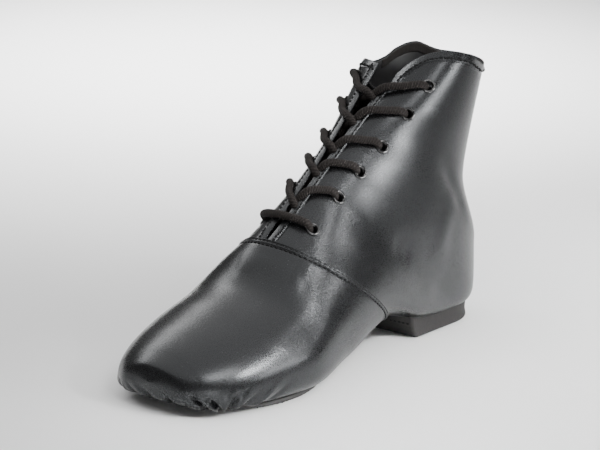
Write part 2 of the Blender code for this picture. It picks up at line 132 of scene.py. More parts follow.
# Depth of the quarters' face under the vamp's, and the pieces' depths behind it
SEAM_STEP = 0.9
LINING_DEPTH = 1.85
LINING_THICK = 0.5
LINING_FROM = 0.012
LINING_LAP = 0.004
LINING_INSET = 0.5
BAND_DEPTH = 2.3
BAND_THICK = 0.4
BAND_WIDTH = 5.0
BAND_FROM = 0.5
BAND_INSET = 0.7
RIB_PITCH = 0.7
TONGUE_DEPTH = {"t": (SEAM, 0.5, 0.55, 1), "depth": (2.9, 5.5, 7, 7)}
TONGUE_WIDTH = {"t": (SEAM, 0.6, 1), "half": (22, 25, 26)}
TONGUE_ENDS = (SEAM + 0.004, 0.935)
TONGUE_THICK = 1.4
INSOLE_ENDS = (SEAM / 3, 0.615)
INSOLE_SPREAD = math.pi / 4
INSOLE_NARROWING = 0.45
INSOLE_DEPTH = {"t": (0, 0.42, 0.45, 1), "depth": (1.9, 1.9, 3.1, 3.1)}
INSOLE_THICK = 1.8
STAY_WIDTH = {"t": (0.66, 0.72, 0.8, 1), "half": (14, 12, 8.5, 6.5)}
STAY_FIRST = 0.668
STAY_UNDER_COLLAR = 0.004
STAY_THICK = 1.0
STAY_HEIGHT = 0.15

# Rubber soles. Each level is an inset from the outline and a height.
PATCH_CENTRE_X = 186.0
PATCH_LENGTH = 96.0
PATCH_WIDTH = 76.0
PATCH_TAPER = 0.05
HEEL_BACK_X = 5.0
HEEL_BREAST_X = 70.0
HEEL_BREAST_LEAN = 5.5
HEEL_WIDTH = 52.0
HEEL_ROUND_X = 34.0
HEEL_HEIGHT = 9.0
HEEL_CORNER = 2.0
HEEL_SEAT_FROM = 5.0
HEEL_SEAT_REACH = 16.0
HEEL_SEAT_LAP = 0.4
HEEL_SEAT_RING = -3
PATCH_LEVELS = (
    (1.3, 0.45), (0.7, 0.5), (0.25, 0.75), (0.0, 1.3), (0.0, 2.0), (0.15, 2.6), (0.6, 2.95), (1.4, 3.0))
HEEL_LEVELS = (
    (1.6, 0.6), (0.9, 0.6), (0.35, 0.65), (0.05, 0.8), (0.0, 1.1), (0.15, 2.0), (0.4, 3.2), (0.55, 4.5),
    (0.5, 6.0), (0.3, 7.4), (0.1, 8.4), (0.1, 8.7), (0.5, 8.95), (1.2, 9.0))
PATCH_RAGGED = 0.22
STROKE = {"Length": 3.6, "Width": 0.95, "Height": 0.9}
STROKE_LEVEL = 0.5
STROKE_MARGIN = 1.8
STROKE_SCATTER = 0.42
STROKE_UNEVENNESS = 0.1
KNOB = {"Top radius": 0.35, "Foot radius": 1.05, "Height": 0.58}
KNOB_LEVEL = 0.6
KNOB_MARGIN = 1.2
SHARP_ANGLE = math.radians(50)

# Eyelets
EYELET_COUNT = 6
EYELET_FIRST = 0.516
EYELET_LAST = 0.931
EYELET_OFFSETS = (17.35, 18.6, 20.3, 22.6, 24.9, 27.1)
EYELET_SEARCH_ANGLE = 1.5
EYELET_HOLE_RADIUS = 2.75
EYELET_HOLE_DEPTH = 8.0
RING_LIFT = 0.25
BARREL = {"Barrel radius": 2.45, "Barrel wall": 0.4, "Barrel height": 2.6}

# Lace: heights over the last of its runs inside and over the facings, the bar's lift at shares of its way,
# the way into an eyelet as distance before its middle and height, and for the upper and the lower of two
# crossing strands the shares of the step up at which each leaves the throat, passes its middle and far edge
# and lies on the facing
LACE_RADIUS = 1.95
INSIDE_RUN = -4.4
OVER_RUN = 1.15
OVER_LIFT = 0.6
OVER_SHARE = 0.56
BAR_LINE = ((0.1, 0.5), (0.2, 0.9), (0.35, 0.5), (0.5, 0.4), (0.65, 0.5), (0.8, 0.9), (0.9, 0.5))
DIVE = (
    (3.4, OVER_RUN + 0.25), (2.3, 0.3), (1.4, -SEAM_STEP - 1.0), (0.9, -SEAM_STEP - 2.4), (0.8, INSIDE_RUN))
Inside = namedtuple("Inside", "step turn lift")
INSIDE_STATIONS = (Inside(0.02, 0.85, 0.0), Inside(0.12, 0.5, -0.2))
Run = namedtuple("Run", "out middle edge over middle_height")
TOP_RUN = Run(0.28, 0.42, 0.62, 0.88, 1.2)
LOW_RUN = Run(0.28, 0.48, 0.72, 0.9, -2.4)
THROAT_CLEAR = 0.10
THROAT_LIFT = 0.2
STATION_GAP = 0.4
LACE_PITCH = 0.5
LACE_SIDES = 28
LACE_START_ACROSS = (0.3, 0.2, 1.0)
BRAID_STRANDS = 4
BRAID_TURNS = 0.8

# Place of the last's zero point in the frame, from the heel solid's lowest corner
ORIGIN = np.array(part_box("heel")[0]) - MM * np.array((HEEL_BACK_X, -HEEL_WIDTH / 2, 0))

# Mesh counts as rows and columns, and how strongly they crowd towards an edge
VAMP_COLUMNS = 110
TOE_ROWS = 125
TOE_SHARE = 0.65
INSTEP_ROWS = 55
SEAM_ROWS = (
    7, 5.5, 4.6, 4.1, 3.7, 3.4, 3.1, 2.8, 2.35, 1.9, 1.6, 1.3, 1.0, 0.75, 0.55, 0.42, 0.3, 0.2, 0.1, 0.03, 0)
FAR_FROM_SEAM = 2.0 * SEAM_ROWS[0]
ARCH_SEAM_COLUMNS = (0.0042, 0.0099, 0.0165, 0.0236)
QUARTER_COLUMNS = 150
QUARTER_ROWS = 200
QUARTER_LAP = 8.0
FACING_CROWDING = 1.6
COLLAR_CROWDING = 1.5
LINING_ROWS = 111
LINING_COLUMNS = 91
LINING_CROWDING = 1.3
BAND_ROWS = 9
TONGUE_ROWS = 120
TONGUE_COLUMNS = 61
INSOLE_ROWS = 100
INSOLE_COLUMNS = 81
INSOLE_CROWDING = 2.2
STAY_ROWS = 160
STAY_COLUMNS = 41
PATCH_POINTS = 420
HEEL_CORNER_POINTS = 9
HEEL_SIDE_POINTS = 20
HEEL_BACK_POINTS = 36
HOLE_SEGMENTS = 32
RING_SEGMENTS = 40
ROLL_SEGMENTS = 14
BEAD_SEGMENTS = 8
BEAD_RINGS = 6
KNOB_CORNERS = 4
RIM_CLOSE = 0.001

# Seam and edge stitching: distances from the edge, and the relief of ridges and grooves across their line
VAMP_STITCH_LINES = (1.3, 3.4)
VAMP_RIDGE = 2.35
EDGE_STITCH = 4.5
STRIP_RISE = 0.8
STRIP_WIDTH = 3.9
STRIP_END = 4.9
STAY_STITCH = 1.7
ARCH_STITCH = 1.7
ARCH_SEAM_X = (95.0, 139.0)
ARCH_SEAM_FADE = (2.0, 4.0)
ARCH_SEAM_ANGLE = 0.9 * math.pi
ARCH_SEAM_T = (0.36, SEAM - 0.004)
ARCH_SEAM_POINTS = 60
BREAST_STITCH_MARGIN = 3.0
BREAST_STITCH_DROP = 1.3
BREAST_STITCH_POINTS = 30
Relief = namedtuple("Relief", "size width")
SEAM_RIDGE = Relief(0.5, 0.65)
SEAM_GROOVE = Relief(0.4, 0.5)
EDGE_GROOVE = Relief(0.35, 0.6)
STAY_GROOVE = Relief(0.2, 0.5)
ARCH_JOINT = Relief(0.45, 0.5)
ARCH_GROOVE = Relief(0.2, 0.5)
STITCH = {"Length": 1.9, "Width": 1.0, "Height": 0.85}
STITCH_LIFT = 0.02
STITCH_UNEVENNESS = 0.08

# Creases of the leather: the line each follows over the last, its half width and its height, below zero for
# a trough. They fade at both ends, as shares of their length, and towards a sewn or open edge.
Fold = namedtuple("Fold", "line width height")
FOLD_FADE_IN = (-0.25, 0.35)
FOLD_FADE_OUT = (1.25, 0.65)
VAMP_FOLDS_FROM_SEAM = (0, 5)
QUARTER_FOLDS_FROM_EDGE = (4, 12)
VAMP_FOLDS = (
    Fold(((177.5, -9, 55.5), (177, -2, 57.2), (175.5, 5, 58)), 7.0, 0.5),
    Fold(((170, 21, 57.5), (166.3, 27.6, 54)), 8.0, 0.7),
    Fold(((184, 30, 41), (194, 32, 36), (208, 32, 29)), 7.0, 0.5),
    Fold(((168, 36, 42), (182, 38.5, 32), (197, 40, 25)), 6.0, -0.5),
    Fold(((160, -35, 38), (150, -38, 28), (142, -38, 20)), 6.0, -0.4),
)
QUARTER_FOLDS = (
    Fold(((152, 19.5, 66.5), (146, 20.2, 68.4), (134.5, 19.5, 73.5), (123.6, 18.3, 78.4)), 7.0, 0.3),
    Fold(((152, -19, 66), (145, -20, 68), (134, -19.5, 73), (123, -18, 78)), 7.0, 0.3),
    Fold(((54, 29, 90), (44, 30.5, 74), (36, 31, 60)), 5.0, -0.9),
    Fold(((50, 31, 68), (58, 32, 46), (66, 31, 28)), 6.0, 0.8),
    Fold(((97, 30, 58), (90, 30.5, 53), (82, 31, 47)), 7.0, -0.8),
    Fold(((54, -28, 88), (44, -30, 72), (38, -31, 58)), 6.0, -0.9),
    Fold(((92, -29, 58), (80, -30, 48), (72, -31, 36)), 7.0, -0.8),
    Fold(((22, 24, 82), (16, 20, 72), (12, 12, 66)), 6.0, -0.6),
    Fold(((22, -24, 82), (16, -20, 72), (12, -12, 66)), 6.0, -0.6),
)

# Pleats of the toe, gathered under the sole: turn in degrees about the ball, half width, height (below zero
# for a trough), top level and lean
Pleat = namedtuple("Pleat", "turn width height top lean")
PLEAT_CENTRE = (200.0, -1.0)
PLEAT_LEVEL = 8.0
PLEAT_FOOT = 5.5
PLEAT_RADII = (34, 44)
PLEATS = (
    Pleat(-76, 2.9, -1.16, 14, -1.2),
    Pleat(-66, 2.2, 0.67, 14, -1),
    Pleat(-58, 2, -1.63, 13, -0.9),
    Pleat(-50, 1.4, 0.84, 13, -0.8),
    Pleat(-44, 1.7, -2.33, 12, -0.5),
    Pleat(-36, 1.3, 0.84, 12, -0.2),
    Pleat(-30, 1.6, -2.79, 12, 0.3),
    Pleat(-23, 1.3, 0.67, 12, 0),
    Pleat(-15, 1.4, -1.63, 13, -0.6),
    Pleat(-8, 2.4, 0.84, 15, -0.9),
    Pleat(-2.5, 1.5, -2.3, 13, -0.9),
    Pleat(3.5, 2.4, 0.84, 13, -1),
    Pleat(10.5, 1.5, -3.6, 13, -0.9),
    Pleat(16, 2.2, 0.8, 12, -1),
    Pleat(22.5, 2.4, 1.0, 13, -1.1),
    Pleat(28.5, 1.4, -3.1, 14, -0.9),
    Pleat(32.5, 1.6, 1.2, 13, -1.1),
    Pleat(36.5, 1.3, -2.8, 12, -0.8),
    Pleat(41, 2.0, 0.9, 12, -0.2),
    Pleat(44.3, 1.8, 0.84, 15, 0.3),
    Pleat(48.5, 1.4, -2.7, 14, 0.6),
    Pleat(54, 2.2, 1.01, 15, 0.95),
    Pleat(61, 1.9, -1.4, 14, 1),
    Pleat(71, 2, 1.01, 19, 1.3),
    Pleat(81, 2.6, -0.93, 16, 1.3),
)

# Camera, and the soft lights: place, aim, size in metres, spread in degrees and power
CAMERA_CENTRE = (125.0, 0.0, 60.0)
CAMERA_AIM = (128.4, -7.4, 65.9)
SENSOR_WIDTH = 36.0
IMAGE_WIDTH = 600
FOCAL_PIXELS = 2614.8
CAMERA_REACH = 100.0
Softbox = namedtuple("Softbox", "name place aim size spread power")
SOFTBOXES = (
    Softbox("quarter softbox", (-22, 517, 192), (100, 27, 85), (0.2, 0.11), 30, 0.085),
    Softbox("instep softbox", (-177, 362, 317), (118, 19, 80), (0.10, 0.10), 8, 0.0045),
    Softbox("seam softbox", (-28, 286, 396), (152, 23, 63), (0.06, 0.06), 6, 0.0014),
    Softbox("collar side softbox", (192, 401, 389), (68, 18, 130), (0.16, 0.16), 15, 0.012),
    Softbox("front softbox", (498, 393, 55), (235, 28, 12), (0.36, 0.09), 50, 0.046),
    Softbox("toe softbox", (295, 271, 332), (215, 33, 25), (0.28, 0.1), 36, 0.055),
    Softbox("overhead softbox", (100, 0, 2550), (100, 0, 0), (5.0, 5.0), 180, 90),
    Softbox("back softbox", (118, -556, 470), (215, -5, 38), (0.62, 0.15), 180, 1.6),
    Softbox("facing softbox", (147, -225, 573), (66, 11, 140), (0.12, 0.12), 12, 0.008),
    Softbox("floor softbox", (-60, 720, 520), (60, 110, 0), (0.6, 0.1), 18, 0.6),
    Softbox("side floor softbox", (-950, 470, 900), (-950, 470, 0), (0.5, 0.5), 44, 3.5),
    Softbox("rear floor softbox", (-420, -480, 900), (-420, -480, 0), (0.5, 0.5), 60, 6.0),
)


def eased(part, step, start, end, start_slope, end_slope):
    """Return a smooth curve from start to end, at a part of the step between them, with a slope at each."""
    low = (1 + 2 * part) * start + part * step * start_slope
    high = (3 - 2 * part) * end + (part - 1) * step * end_slope
    return (1 - part) ** 2 * low + part**2 * high


def smooth_curve(knots, values):
    """Return a function for a smooth curve through the values that does not overshoot them."""
    knots = np.asarray(knots, float)
    values = np.asarray(values, float).reshape(len(knots), -1)
    steps = np.diff(knots)[:, None]
    rises = np.diff(values, axis=0) / steps
    slopes = np.zeros_like(values)
    slopes[0] = rises[0]
    slopes[-1] = rises[-1]
    weight_before = 2 * steps[1:] + steps[:-1]
    weight_after = steps[1:] + 2 * steps[:-1]
    same_way = rises[1:] * rises[:-1] > 0
    before = np.where(same_way, rises[:-1], 1)
    after = np.where(same_way, rises[1:], 1)
    mean = (weight_before + weight_after) / (weight_before / before + weight_after / after)
    slopes[1:-1] = np.where(same_way, mean, 0)

    def at(place):
        place = np.asarray(place, float)
        flat = place.ravel()
        index = np.clip(np.searchsorted(knots, flat, side="right") - 1, 0, len(knots) - 2)
        step = (knots[index + 1] - knots[index])[:, None]
        part = (flat - knots[index])[:, None] / step
        curve = eased(part, step, values[index], values[index + 1], slopes[index], slopes[index + 1])
        return curve.reshape(place.shape + (values.shape[1],))

    return at


section_at = smooth_curve(np.linspace(0, 1, len(SECTIONS)), SECTIONS)
sole_line_at = smooth_curve(SOLE_LINE["x"], SOLE_LINE["z"])
throat_at = {side: smooth_curve(THROAT_T, halves) for side, halves in THROAT_HALF.items()}
collar_at = {side: smooth_curve(COLLAR_X, heights) for side, heights in COLLAR_Z.items()}


def section_of(t):
    """Return the last's section at t."""
    return Section(*np.moveaxis(section_at(t), -1, 0))


def unit(vectors):
    """Return vectors at length one."""
    return vectors / np.linalg.norm(vectors, axis=-1, keepdims=True)


def step_lengths(points):
    """Return the lengths of a path's steps."""
    return np.linalg.norm(np.diff(points, axis=0), axis=1)


def travelled(points):
    """Return the distance along a path at each of its points."""
    return np.concatenate([[0], np.cumsum(step_lengths(points))])


def last_point(t, angle):
    """Return points of the last: t from toe 0 to collar 1, angle from instep 0 to underside pi or -pi."""
    t, angle = np.broadcast_arrays(np.asarray(t, float), np.asarray(angle, float))
    section = section_of(t)
    cosine = np.cos(angle)
    sine = np.sin(angle)
    upper_half = cosine >= 0
    power = 2 / np.where(upper_half, section.high_power, section.low_power)
    reach = np.where(upper_half, 1 - section.widest, -section.widest)
    level = section.widest + reach * np.abs(cosine) ** power
    width = np.where(sine >= 0, section.left, -section.right)
    x = section.bottom_x + (section.top_x - section.bottom_x) * level
    y = section.middle + width * np.abs(sine) ** power
    z = section.bottom_z + (section.top_z - section.bottom_z) * level
    floor = sole_line_at(x)[..., 0]
    z = 0.5 * (z + floor + np.sqrt((z - floor) ** 2 + SOLE_BLEND**2))
    return np.stack([x, y, z], axis=-1)


def last_normal(t, angle):
    """Return the outward normals of the last at the given places."""
    t = np.maximum(t, TOE_TIP)
    along = last_point(t + NORMAL_STEP, angle) - last_point(t - NORMAL_STEP, angle)
    around = last_point(t, angle + NORMAL_STEP) - last_point(t, angle - NORMAL_STEP)
    return unit(np.cross(around, along))


def raised(t, angle, height):
    """Return points that stand a height over the last, or inside it where the height is negative."""
    t, angle = np.broadcast_arrays(np.asarray(t, float), np.asarray(angle, float))
    return last_point(t, angle) + np.asarray(height)[..., None] * last_normal(t, angle)


def facing_angle(t, side):
    """Return the angle of a facing's edge at t, without its sign."""
    section = section_of(t)
    return np.arcsin(2 * throat_at[side](np.maximum(t, SEAM))[..., 0] / (section.left + section.right))


def quarter_angle(t, share, side):
    """Return the angle at a share of the way from the facing edge to the back seam."""
    edge = facing_angle(t, side)
    return SIDES[side] * (edge + (math.pi - edge) * share)


def quarter_angles(t, shares, side):
    """Return the angles of a quarter's grid, its last column exactly at the back seam."""
    angles = quarter_angle(t, shares, side)
    angles[:, -1] = SIDES[side] * math.pi
    return angles


def collar_end(share, side):
    """Return the t where a column of the quarter meets the collar line."""
    t = np.linspace(COLLAR_SEARCH_FROM, 1, SEARCH_STEPS)
    points = last_point(t, quarter_angle(t, share, side))
    over = points[:, 2] - collar_at[side](points[:, 0])[:, 0]
    crossing = int(np.argmax(over > 0))
    return float(np.interp(0, over[crossing - 1:crossing + 1], t[crossing - 1:crossing + 1]))


def t_back_from(end, angle_at, distances):
    """Return the t values that lie at distances before an end, along one column of the last."""
    t = np.linspace(end - SEARCH_REACH, end, SEARCH_STEPS)
    points = last_point(t, angle_at(t))
    return np.interp(distances, travelled(points[::-1]), t[::-1])


def eyelet_place(index, side):
    """Return t and angle of an eyelet, found along its section from the middle of the throat."""
    share = index / (EYELET_COUNT - 1)
    t = EYELET_FIRST + (EYELET_LAST - EYELET_FIRST) * share
    angles = np.linspace(0, EYELET_SEARCH_ANGLE, SEARCH_STEPS)
    path = last_point(t, SIDES[side] * angles)
    return t, SIDES[side] * float(np.interp(EYELET_OFFSETS[index], travelled(path), angles))


def bell(distance, width):
    """Return a soft bump of height one."""
    return np.exp(-((distance / width) ** 2))


def relief(distance, form):
    """Return a ridge or groove of the given form, at distances across its line."""
    return form.size * bell(distance, form.width)


def ramp(value, start, end):
    """Return a smooth rise from 0 at start to 1 at end."""
    share = np.clip((value - start) / (end - start), 0, 1)
    return share * share * (3 - 2 * share)


def fold_height(points, folds):
    """Return the height that the creases add at points of the last."""
    total = np.zeros(points.shape[:-1])
    for fold in folds:
        corners = np.array(fold.line, float)
        lengths = step_lengths(corners)
        travel = travelled(corners)
        nearest = np.full(points.shape[:-1], np.inf)
        place = np.zeros(points.shape[:-1])
        for start, end, length, before in zip(corners, corners[1:], lengths, travel):
            run = (end - start) / length
            share = np.clip((points - start) @ run, 0, length)
            off = np.linalg.norm(points - start - share[..., None] * run, axis=-1)
            place = np.where(off < nearest, (before + share) / travel[-1], place)
            nearest = np.minimum(nearest, off)
        fade = ramp(place, *FOLD_FADE_IN) * ramp(place, *FOLD_FADE_OUT)
        total += fold.height * bell(nearest, fold.width) * fade
    return total


def pleat_height(points):
    """Return the height that the gathered pleats add round the toe."""
    x = points[..., 0] - PLEAT_CENTRE[0]
    y = points[..., 1] - PLEAT_CENTRE[1]
    z = points[..., 2]
    radius = np.hypot(x, y)
    turn = np.degrees(np.arctan2(y, x))
    total = np.zeros(points.shape[:-1])
    for pleat in PLEATS:
        across = radius * np.radians(turn - pleat.turn) - pleat.lean * (z - PLEAT_LEVEL)
        total += pleat.height * ramp(z, pleat.top, PLEAT_FOOT) * bell(across, pleat.width)
    return total * ramp(radius, *PLEAT_RADII)


def rim_drop(distance, thickness):
    """Return how far each face of a sheet turns in near its edge, so that they meet in a round edge."""
    near = np.clip(1 - 2 * distance / thickness, 0, 1)
    return thickness / 2 * (1 - np.sqrt(1 - near**2))


def edge_distance(points, along=(True, True), across=(True, True)):
    """Return each grid point's distance to the grid's first and last row (along) and column (across)."""
    found = np.full(points.shape[:-1], np.inf)
    for axis, ends in ((0, along), (1, across)):
        steps = np.linalg.norm(np.diff(points, axis=axis), axis=-1)
        start = np.zeros_like(steps[:1] if axis == 0 else steps[:, :1])
        travel = np.concatenate([start, np.cumsum(steps, axis=axis)], axis=axis)
        whole = travel[-1:] if axis == 0 else travel[:, -1:]
        if ends[0]:
            found = np.minimum(found, travel)
        if ends[1]:
            found = np.minimum(found, whole - travel)
    return found


def to_frame(points):
    """Return points of the last in the frame's metres."""
    return np.asarray(points, float) * MM + ORIGIN


def mesh_from_grids(name, grids):
    """Make one closed mesh from grids of points whose rims meet."""
    points = []
    faces = []
    count = 0
    for grid in grids:
        rows, columns = grid.shape[:2]
        index = count + np.arange(rows * columns).reshape(rows, columns)
        corners = (index[:-1, :-1], index[:-1, 1:], index[1:, 1:], index[1:, :-1])
        faces.append(np.stack([corner.ravel() for corner in corners], axis=1))
        points.append(grid.reshape(-1, 3))
        count += rows * columns
    mesh = bpy.data.meshes.new(name)
    mesh.from_pydata(to_frame(np.concatenate(points)), [], np.concatenate(faces))
    shape = bmesh.new()
    shape.from_mesh(mesh)
    bmesh.ops.remove_doubles(shape, verts=shape.verts, dist=WELD)
    bmesh.ops.dissolve_degenerate(shape, dist=SLIVER, edges=shape.edges)
    bmesh.ops.recalc_face_normals(shape, faces=shape.faces)
    shape.to_mesh(mesh)
    shape.free()
    mesh.shade_smooth()
    return mesh


def sheet_mesh(name, t, angles, height, thickness, distance):
    """Make a leather sheet over the last, with a round edge where distance falls to zero."""
    drop = rim_drop(distance, thickness)
    outer = raised(t, angles, height - drop)
    inner = raised(t, angles, height - thickness + drop)
    return mesh_from_grids(name, (outer, inner))


def put(name, mesh, finish, slot, *nodes):
    """Put a finished mesh into the scene as a piece of the shoe."""
    made = bpy.data.objects.new(name, mesh)
    bpy.context.scene.collection.objects.link(made)
    mesh.materials.clear()
    mesh.materials.append(finish)
    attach(made, "root")
    if nodes:
        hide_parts(*nodes)
    return made


def plain_mesh(name, holder):
    """Return a holder's evaluated mesh as a plain one, and remove the holder."""
    evaluated = holder.evaluated_get(bpy.context.evaluated_depsgraph_get())
    mesh = bpy.data.meshes.new_from_object(evaluated)
    mesh.name = name
    bpy.data.objects.remove(holder)
    return mesh


def pierced(name, mesh, side):
    """Return a quarter's mesh with its eyelet holes cut."""
    radius = EYELET_HOLE_RADIUS * MM
    holes = bmesh.new()
    for index in range(EYELET_COUNT):
        t, angle = eyelet_place(index, side)
        turn = Vector(last_normal(t, angle)).to_track_quat("Z", "Y").to_matrix().to_4x4()
        matrix = Matrix.Translation(Vector(to_frame(raised(t, angle, -SEAM_STEP)))) @ turn
        bmesh.ops.create_cone(
            holes, cap_ends=True, segments=HOLE_SEGMENTS, radius1=radius, radius2=radius,
            depth=EYELET_HOLE_DEPTH * MM, matrix=matrix)
    cutter_mesh = bpy.data.meshes.new("eyelet holes")
    holes.to_mesh(cutter_mesh)
    holes.free()
    cutter = bpy.data.objects.new("eyelet holes", cutter_mesh)
    holder = bpy.data.objects.new(name, mesh)
    for made in (cutter, holder):
        bpy.context.scene.collection.objects.link(made)
    cut = holder.modifiers.new("holes", "BOOLEAN")
    cut.object = cutter
    cut.operation = "DIFFERENCE"
    cut.solver = "EXACT"
    done = plain_mesh(name, holder)
    bpy.data.objects.remove(cutter)
    return done


class Wire:
    """A socket of a material's nodes. Sums and products of wires add Math nodes."""

    def __init__(self, tree, socket=None):
        self.tree = tree
        self.socket = socket

    def node(self, kind, settings=(), sockets=(), output=0):
        """Add a node: its settings first, then the values or links of its sockets."""
        made = self.tree.nodes.new(kind)
        for name, value in dict(settings).items():
            if name == "stops":
                for element, (place, shade) in zip(made.color_ramp.elements, value):
                    element.position = place
                    element.color = (shade, shade, shade, 1)
            else:
                setattr(made, name, value)
        for name, value in dict(sockets).items():
            if isinstance(value, Wire):
                self.tree.links.new(value.socket, made.inputs[name])
            else:
                made.inputs[name].default_value = value
        return Wire(self.tree, made.outputs[output])

    def maths(self, operation, *values):
        """Return the result of a Math node."""
        return self.node("ShaderNodeMath", {"operation": operation}, enumerate(values))

    def __add__(self, other):
        return self.maths("ADD", self, other)

    def __sub__(self, other):
        return self.maths("SUBTRACT", self, other)

    def __rsub__(self, other):
        return self.maths("SUBTRACT", other, self)

    def __mul__(self, other):
        return self.maths("MULTIPLY", self, other)

    __radd__ = __add__
    __rmul__ = __mul__

    def sine(self):
        """Return the sine of a wire that counts whole turns."""
        return self.maths("SINE", self * (2 * math.pi))

    def place(self):
        """Return the place on the object."""
        return self.node("ShaderNodeTexCoord", output="Object")

    def flat(self, axis):
        """Return one axis of the piece's own map."""
        return self.node("ShaderNodeSeparateXYZ", {}, {"Vector": self.node("ShaderNodeUVMap")}, axis)

    def noise(self, place, scale, detail):
        """Return a soft noise between 0 and 1."""
        sockets = {"Vector": place, "Scale": scale, "Detail": detail}
        return self.node("ShaderNodeTexNoise", {}, sockets)

    def blend(self, share, first, second):
        """Return a colour between two colours."""
        # A Mix node has its colours at inputs 6 and 7 and at output 2
        return self.node("ShaderNodeMix", {"data_type": "RGBA"}, {0: share, 6: first, 7: second}, 2)

    def bump(self, height, strength, distance):
        """Return the normal of a surface with a fine relief."""
        sockets = {"Height": height, "Strength": strength, "Distance": distance}
        return self.node("ShaderNodeBump", {}, sockets)


def shade(colour, factor):
    """Return a colour made lighter or darker, with its alpha."""
    return tuple(min(1.0, part * factor) for part in colour) + (1.0,)


def finish(build):
    """Return the material that a function gives the sockets of, built on its first use."""
    name = build.__name__.replace("_", " ")
    made = bpy.data.materials.get(name)
    if made:
        return made
    made = bpy.data.materials.new(name)
    made.use_nodes = True
    shader = made.node_tree.nodes["Principled BSDF"]
    for socket, value in build(Wire(made.node_tree), bpy.context.scene.jazz_boot_look).items():
        if isinstance(value, Wire):
            made.node_tree.links.new(value.socket, shader.inputs[socket])
        else:
            shader.inputs[socket].default_value = value
    return made


def black_leather(wire, look):
    """Give the black leather: fine pebbled grain, satin gloss and a softly uneven sheen."""
    place = wire.place()
    pebbles = wire.node("ShaderNodeTexVoronoi", {"feature": "SMOOTH_F1"},
                        {"Vector": place, "Scale": 1 / look.grain, "Smoothness": 0.6})
    pores = wire.noise(place, scale=1.4 / look.grain, detail=2)
    cloud = wire.noise(place, scale=45, detail=3)
    dark = shade(look.leather, 0.5)
    light = shade(look.leather, 1.5)
    return {
        "Base Color": wire.blend(0.4 * cloud + 0.6 * pores, dark, light),
        "Roughness": look.leather_roughness + 0.05 * (cloud - 0.5) + 0.16 * (pores - 0.5),
        "Normal": wire.bump(0.6 * pebbles + 0.4 * pores, strength=0.55, distance=0.0001),
        "Specular IOR Level": 0.5,
        "Specular Tint": (0.94, 0.97, 1.0, 1.0),
    }


def grey_lining(wire, look):
    """Give the smooth dark grey lining."""
    place = wire.place()
    nap = wire.noise(place, scale=2400, detail=3)
    cloud = wire.noise(place, scale=60, detail=3)
    return {
        "Base Color": wire.blend(cloud, shade(look.lining, 0.85), shade(look.lining, 1.15)),
        "Roughness": 0.38 + 0.1 * nap,
        "Normal": wire.bump(nap, strength=0.15, distance=0.0001),
    }


def woven_binding(wire, look):
    """Give the woven binding along the collar, ribbed along its length."""
    ribs = (wire.flat("X") * (1 / RIB_PITCH)).sine()
    fibres = wire.noise(wire.place(), scale=3500, detail=3)
    return {
        "Base Color": wire.blend(fibres, shade(look.cord, 0.9), shade(look.cord, 1.5)),
        "Roughness": 0.8 + 0.15 * fibres,
        "Normal": wire.bump(0.5 * ribs + 0.5 * fibres, strength=0.5, distance=0.0002),
    }


def braided_cord(wire, look):
    """Give the matt braided cord, with its oblique ribs and painted shade in the grooves between them."""
    around = wire.flat("X") * BRAID_STRANDS
    along = wire.flat("Y") * BRAID_TURNS
    braid = 0.7 * (around + along).sine() + 0.3 * (around - along).sine()
    place = wire.place()
    fibres = wire.noise(place, scale=4000, detail=3)
    cloud = wire.noise(place, scale=150, detail=2)
    # Tone that varies at random with the fibres, plus painted shade: darker along the braid's grooves,
    # lighter on its ribs
    tone_and_groove_shade = 0.3 * fibres + 0.2 * cloud + 0.3 * braid + 0.2
    return {
        "Base Color": wire.blend(tone_and_groove_shade, shade(look.cord, 0.4), shade(look.cord, 2.0)),
        "Roughness": 0.8 + 0.1 * fibres,
        "Normal": wire.bump(0.7 * braid + 0.3 * fibres, strength=0.7, distance=0.0003),
        "Specular IOR Level": 0.2,
    }


def black_thread(wire, look):
    """Give the waxed black thread."""
    twist = wire.noise(wire.place(), scale=5000, detail=2)
    return {
        "Base Color": wire.blend(twist, shade(look.thread, 0.7), shade(look.thread, 1.3)),
        "Roughness": 0.6 + 0.2 * twist,
        "Normal": wire.bump(twist, strength=0.3, distance=0.0001),
        "Specular IOR Level": 0.25,
    }


def rubber(wire, colour, crumb_size):
    """Give a matt black rubber with a fine moulded surface."""
    place = wire.place()
    crumb = wire.noise(place, scale=1 / crumb_size, detail=4)
    cloud = wire.noise(place, scale=80, detail=3)
    dust = wire.node("ShaderNodeValToRGB", {"stops": ((0.45, 0), (0.75, 1))}, {"Fac": cloud})
    return {
        "Base Color": wire.blend(0.5 * crumb + 0.4 * dust, shade(colour, 0.75), shade(colour, 1.4)),
        "Roughness": 0.62 + 0.2 * crumb,
        "Normal": wire.bump(crumb, strength=0.5, distance=0.00025),
    }


def crinkled_sole_rubber(wire, look):
    """Give the crinkled rubber of the forefoot sole."""
    return rubber(wire, look.sole_rubber, crumb_size=0.0006)


def heel_rubber(wire, look):
    """Give the rubber of the heel."""
    return rubber(wire, look.heel_rubber, crumb_size=0.0009)


def black_japanned_metal(wire, look):
    """Give the black japanned metal of the eyelets."""
    rub = wire.noise(wire.place(), scale=900, detail=3)
    return {
        "Base Color": wire.blend(rub, shade(look.metal, 0.8), shade(look.metal, 1.3)),
        "Metallic": 0.0,
        "Roughness": 0.1 + 0.08 * rub,
        "Coat Weight": 1.0,
        "Coat Roughness": 0.06,
    }


def pale_floor(wire, look):
    """Give the matt pale floor."""
    colour = bpy.context.scene.jazz_boot_stage.floor_colour
    return {"Base Color": shade(colour, 1.0), "Roughness": 0.9, "Specular IOR Level": 0.2}


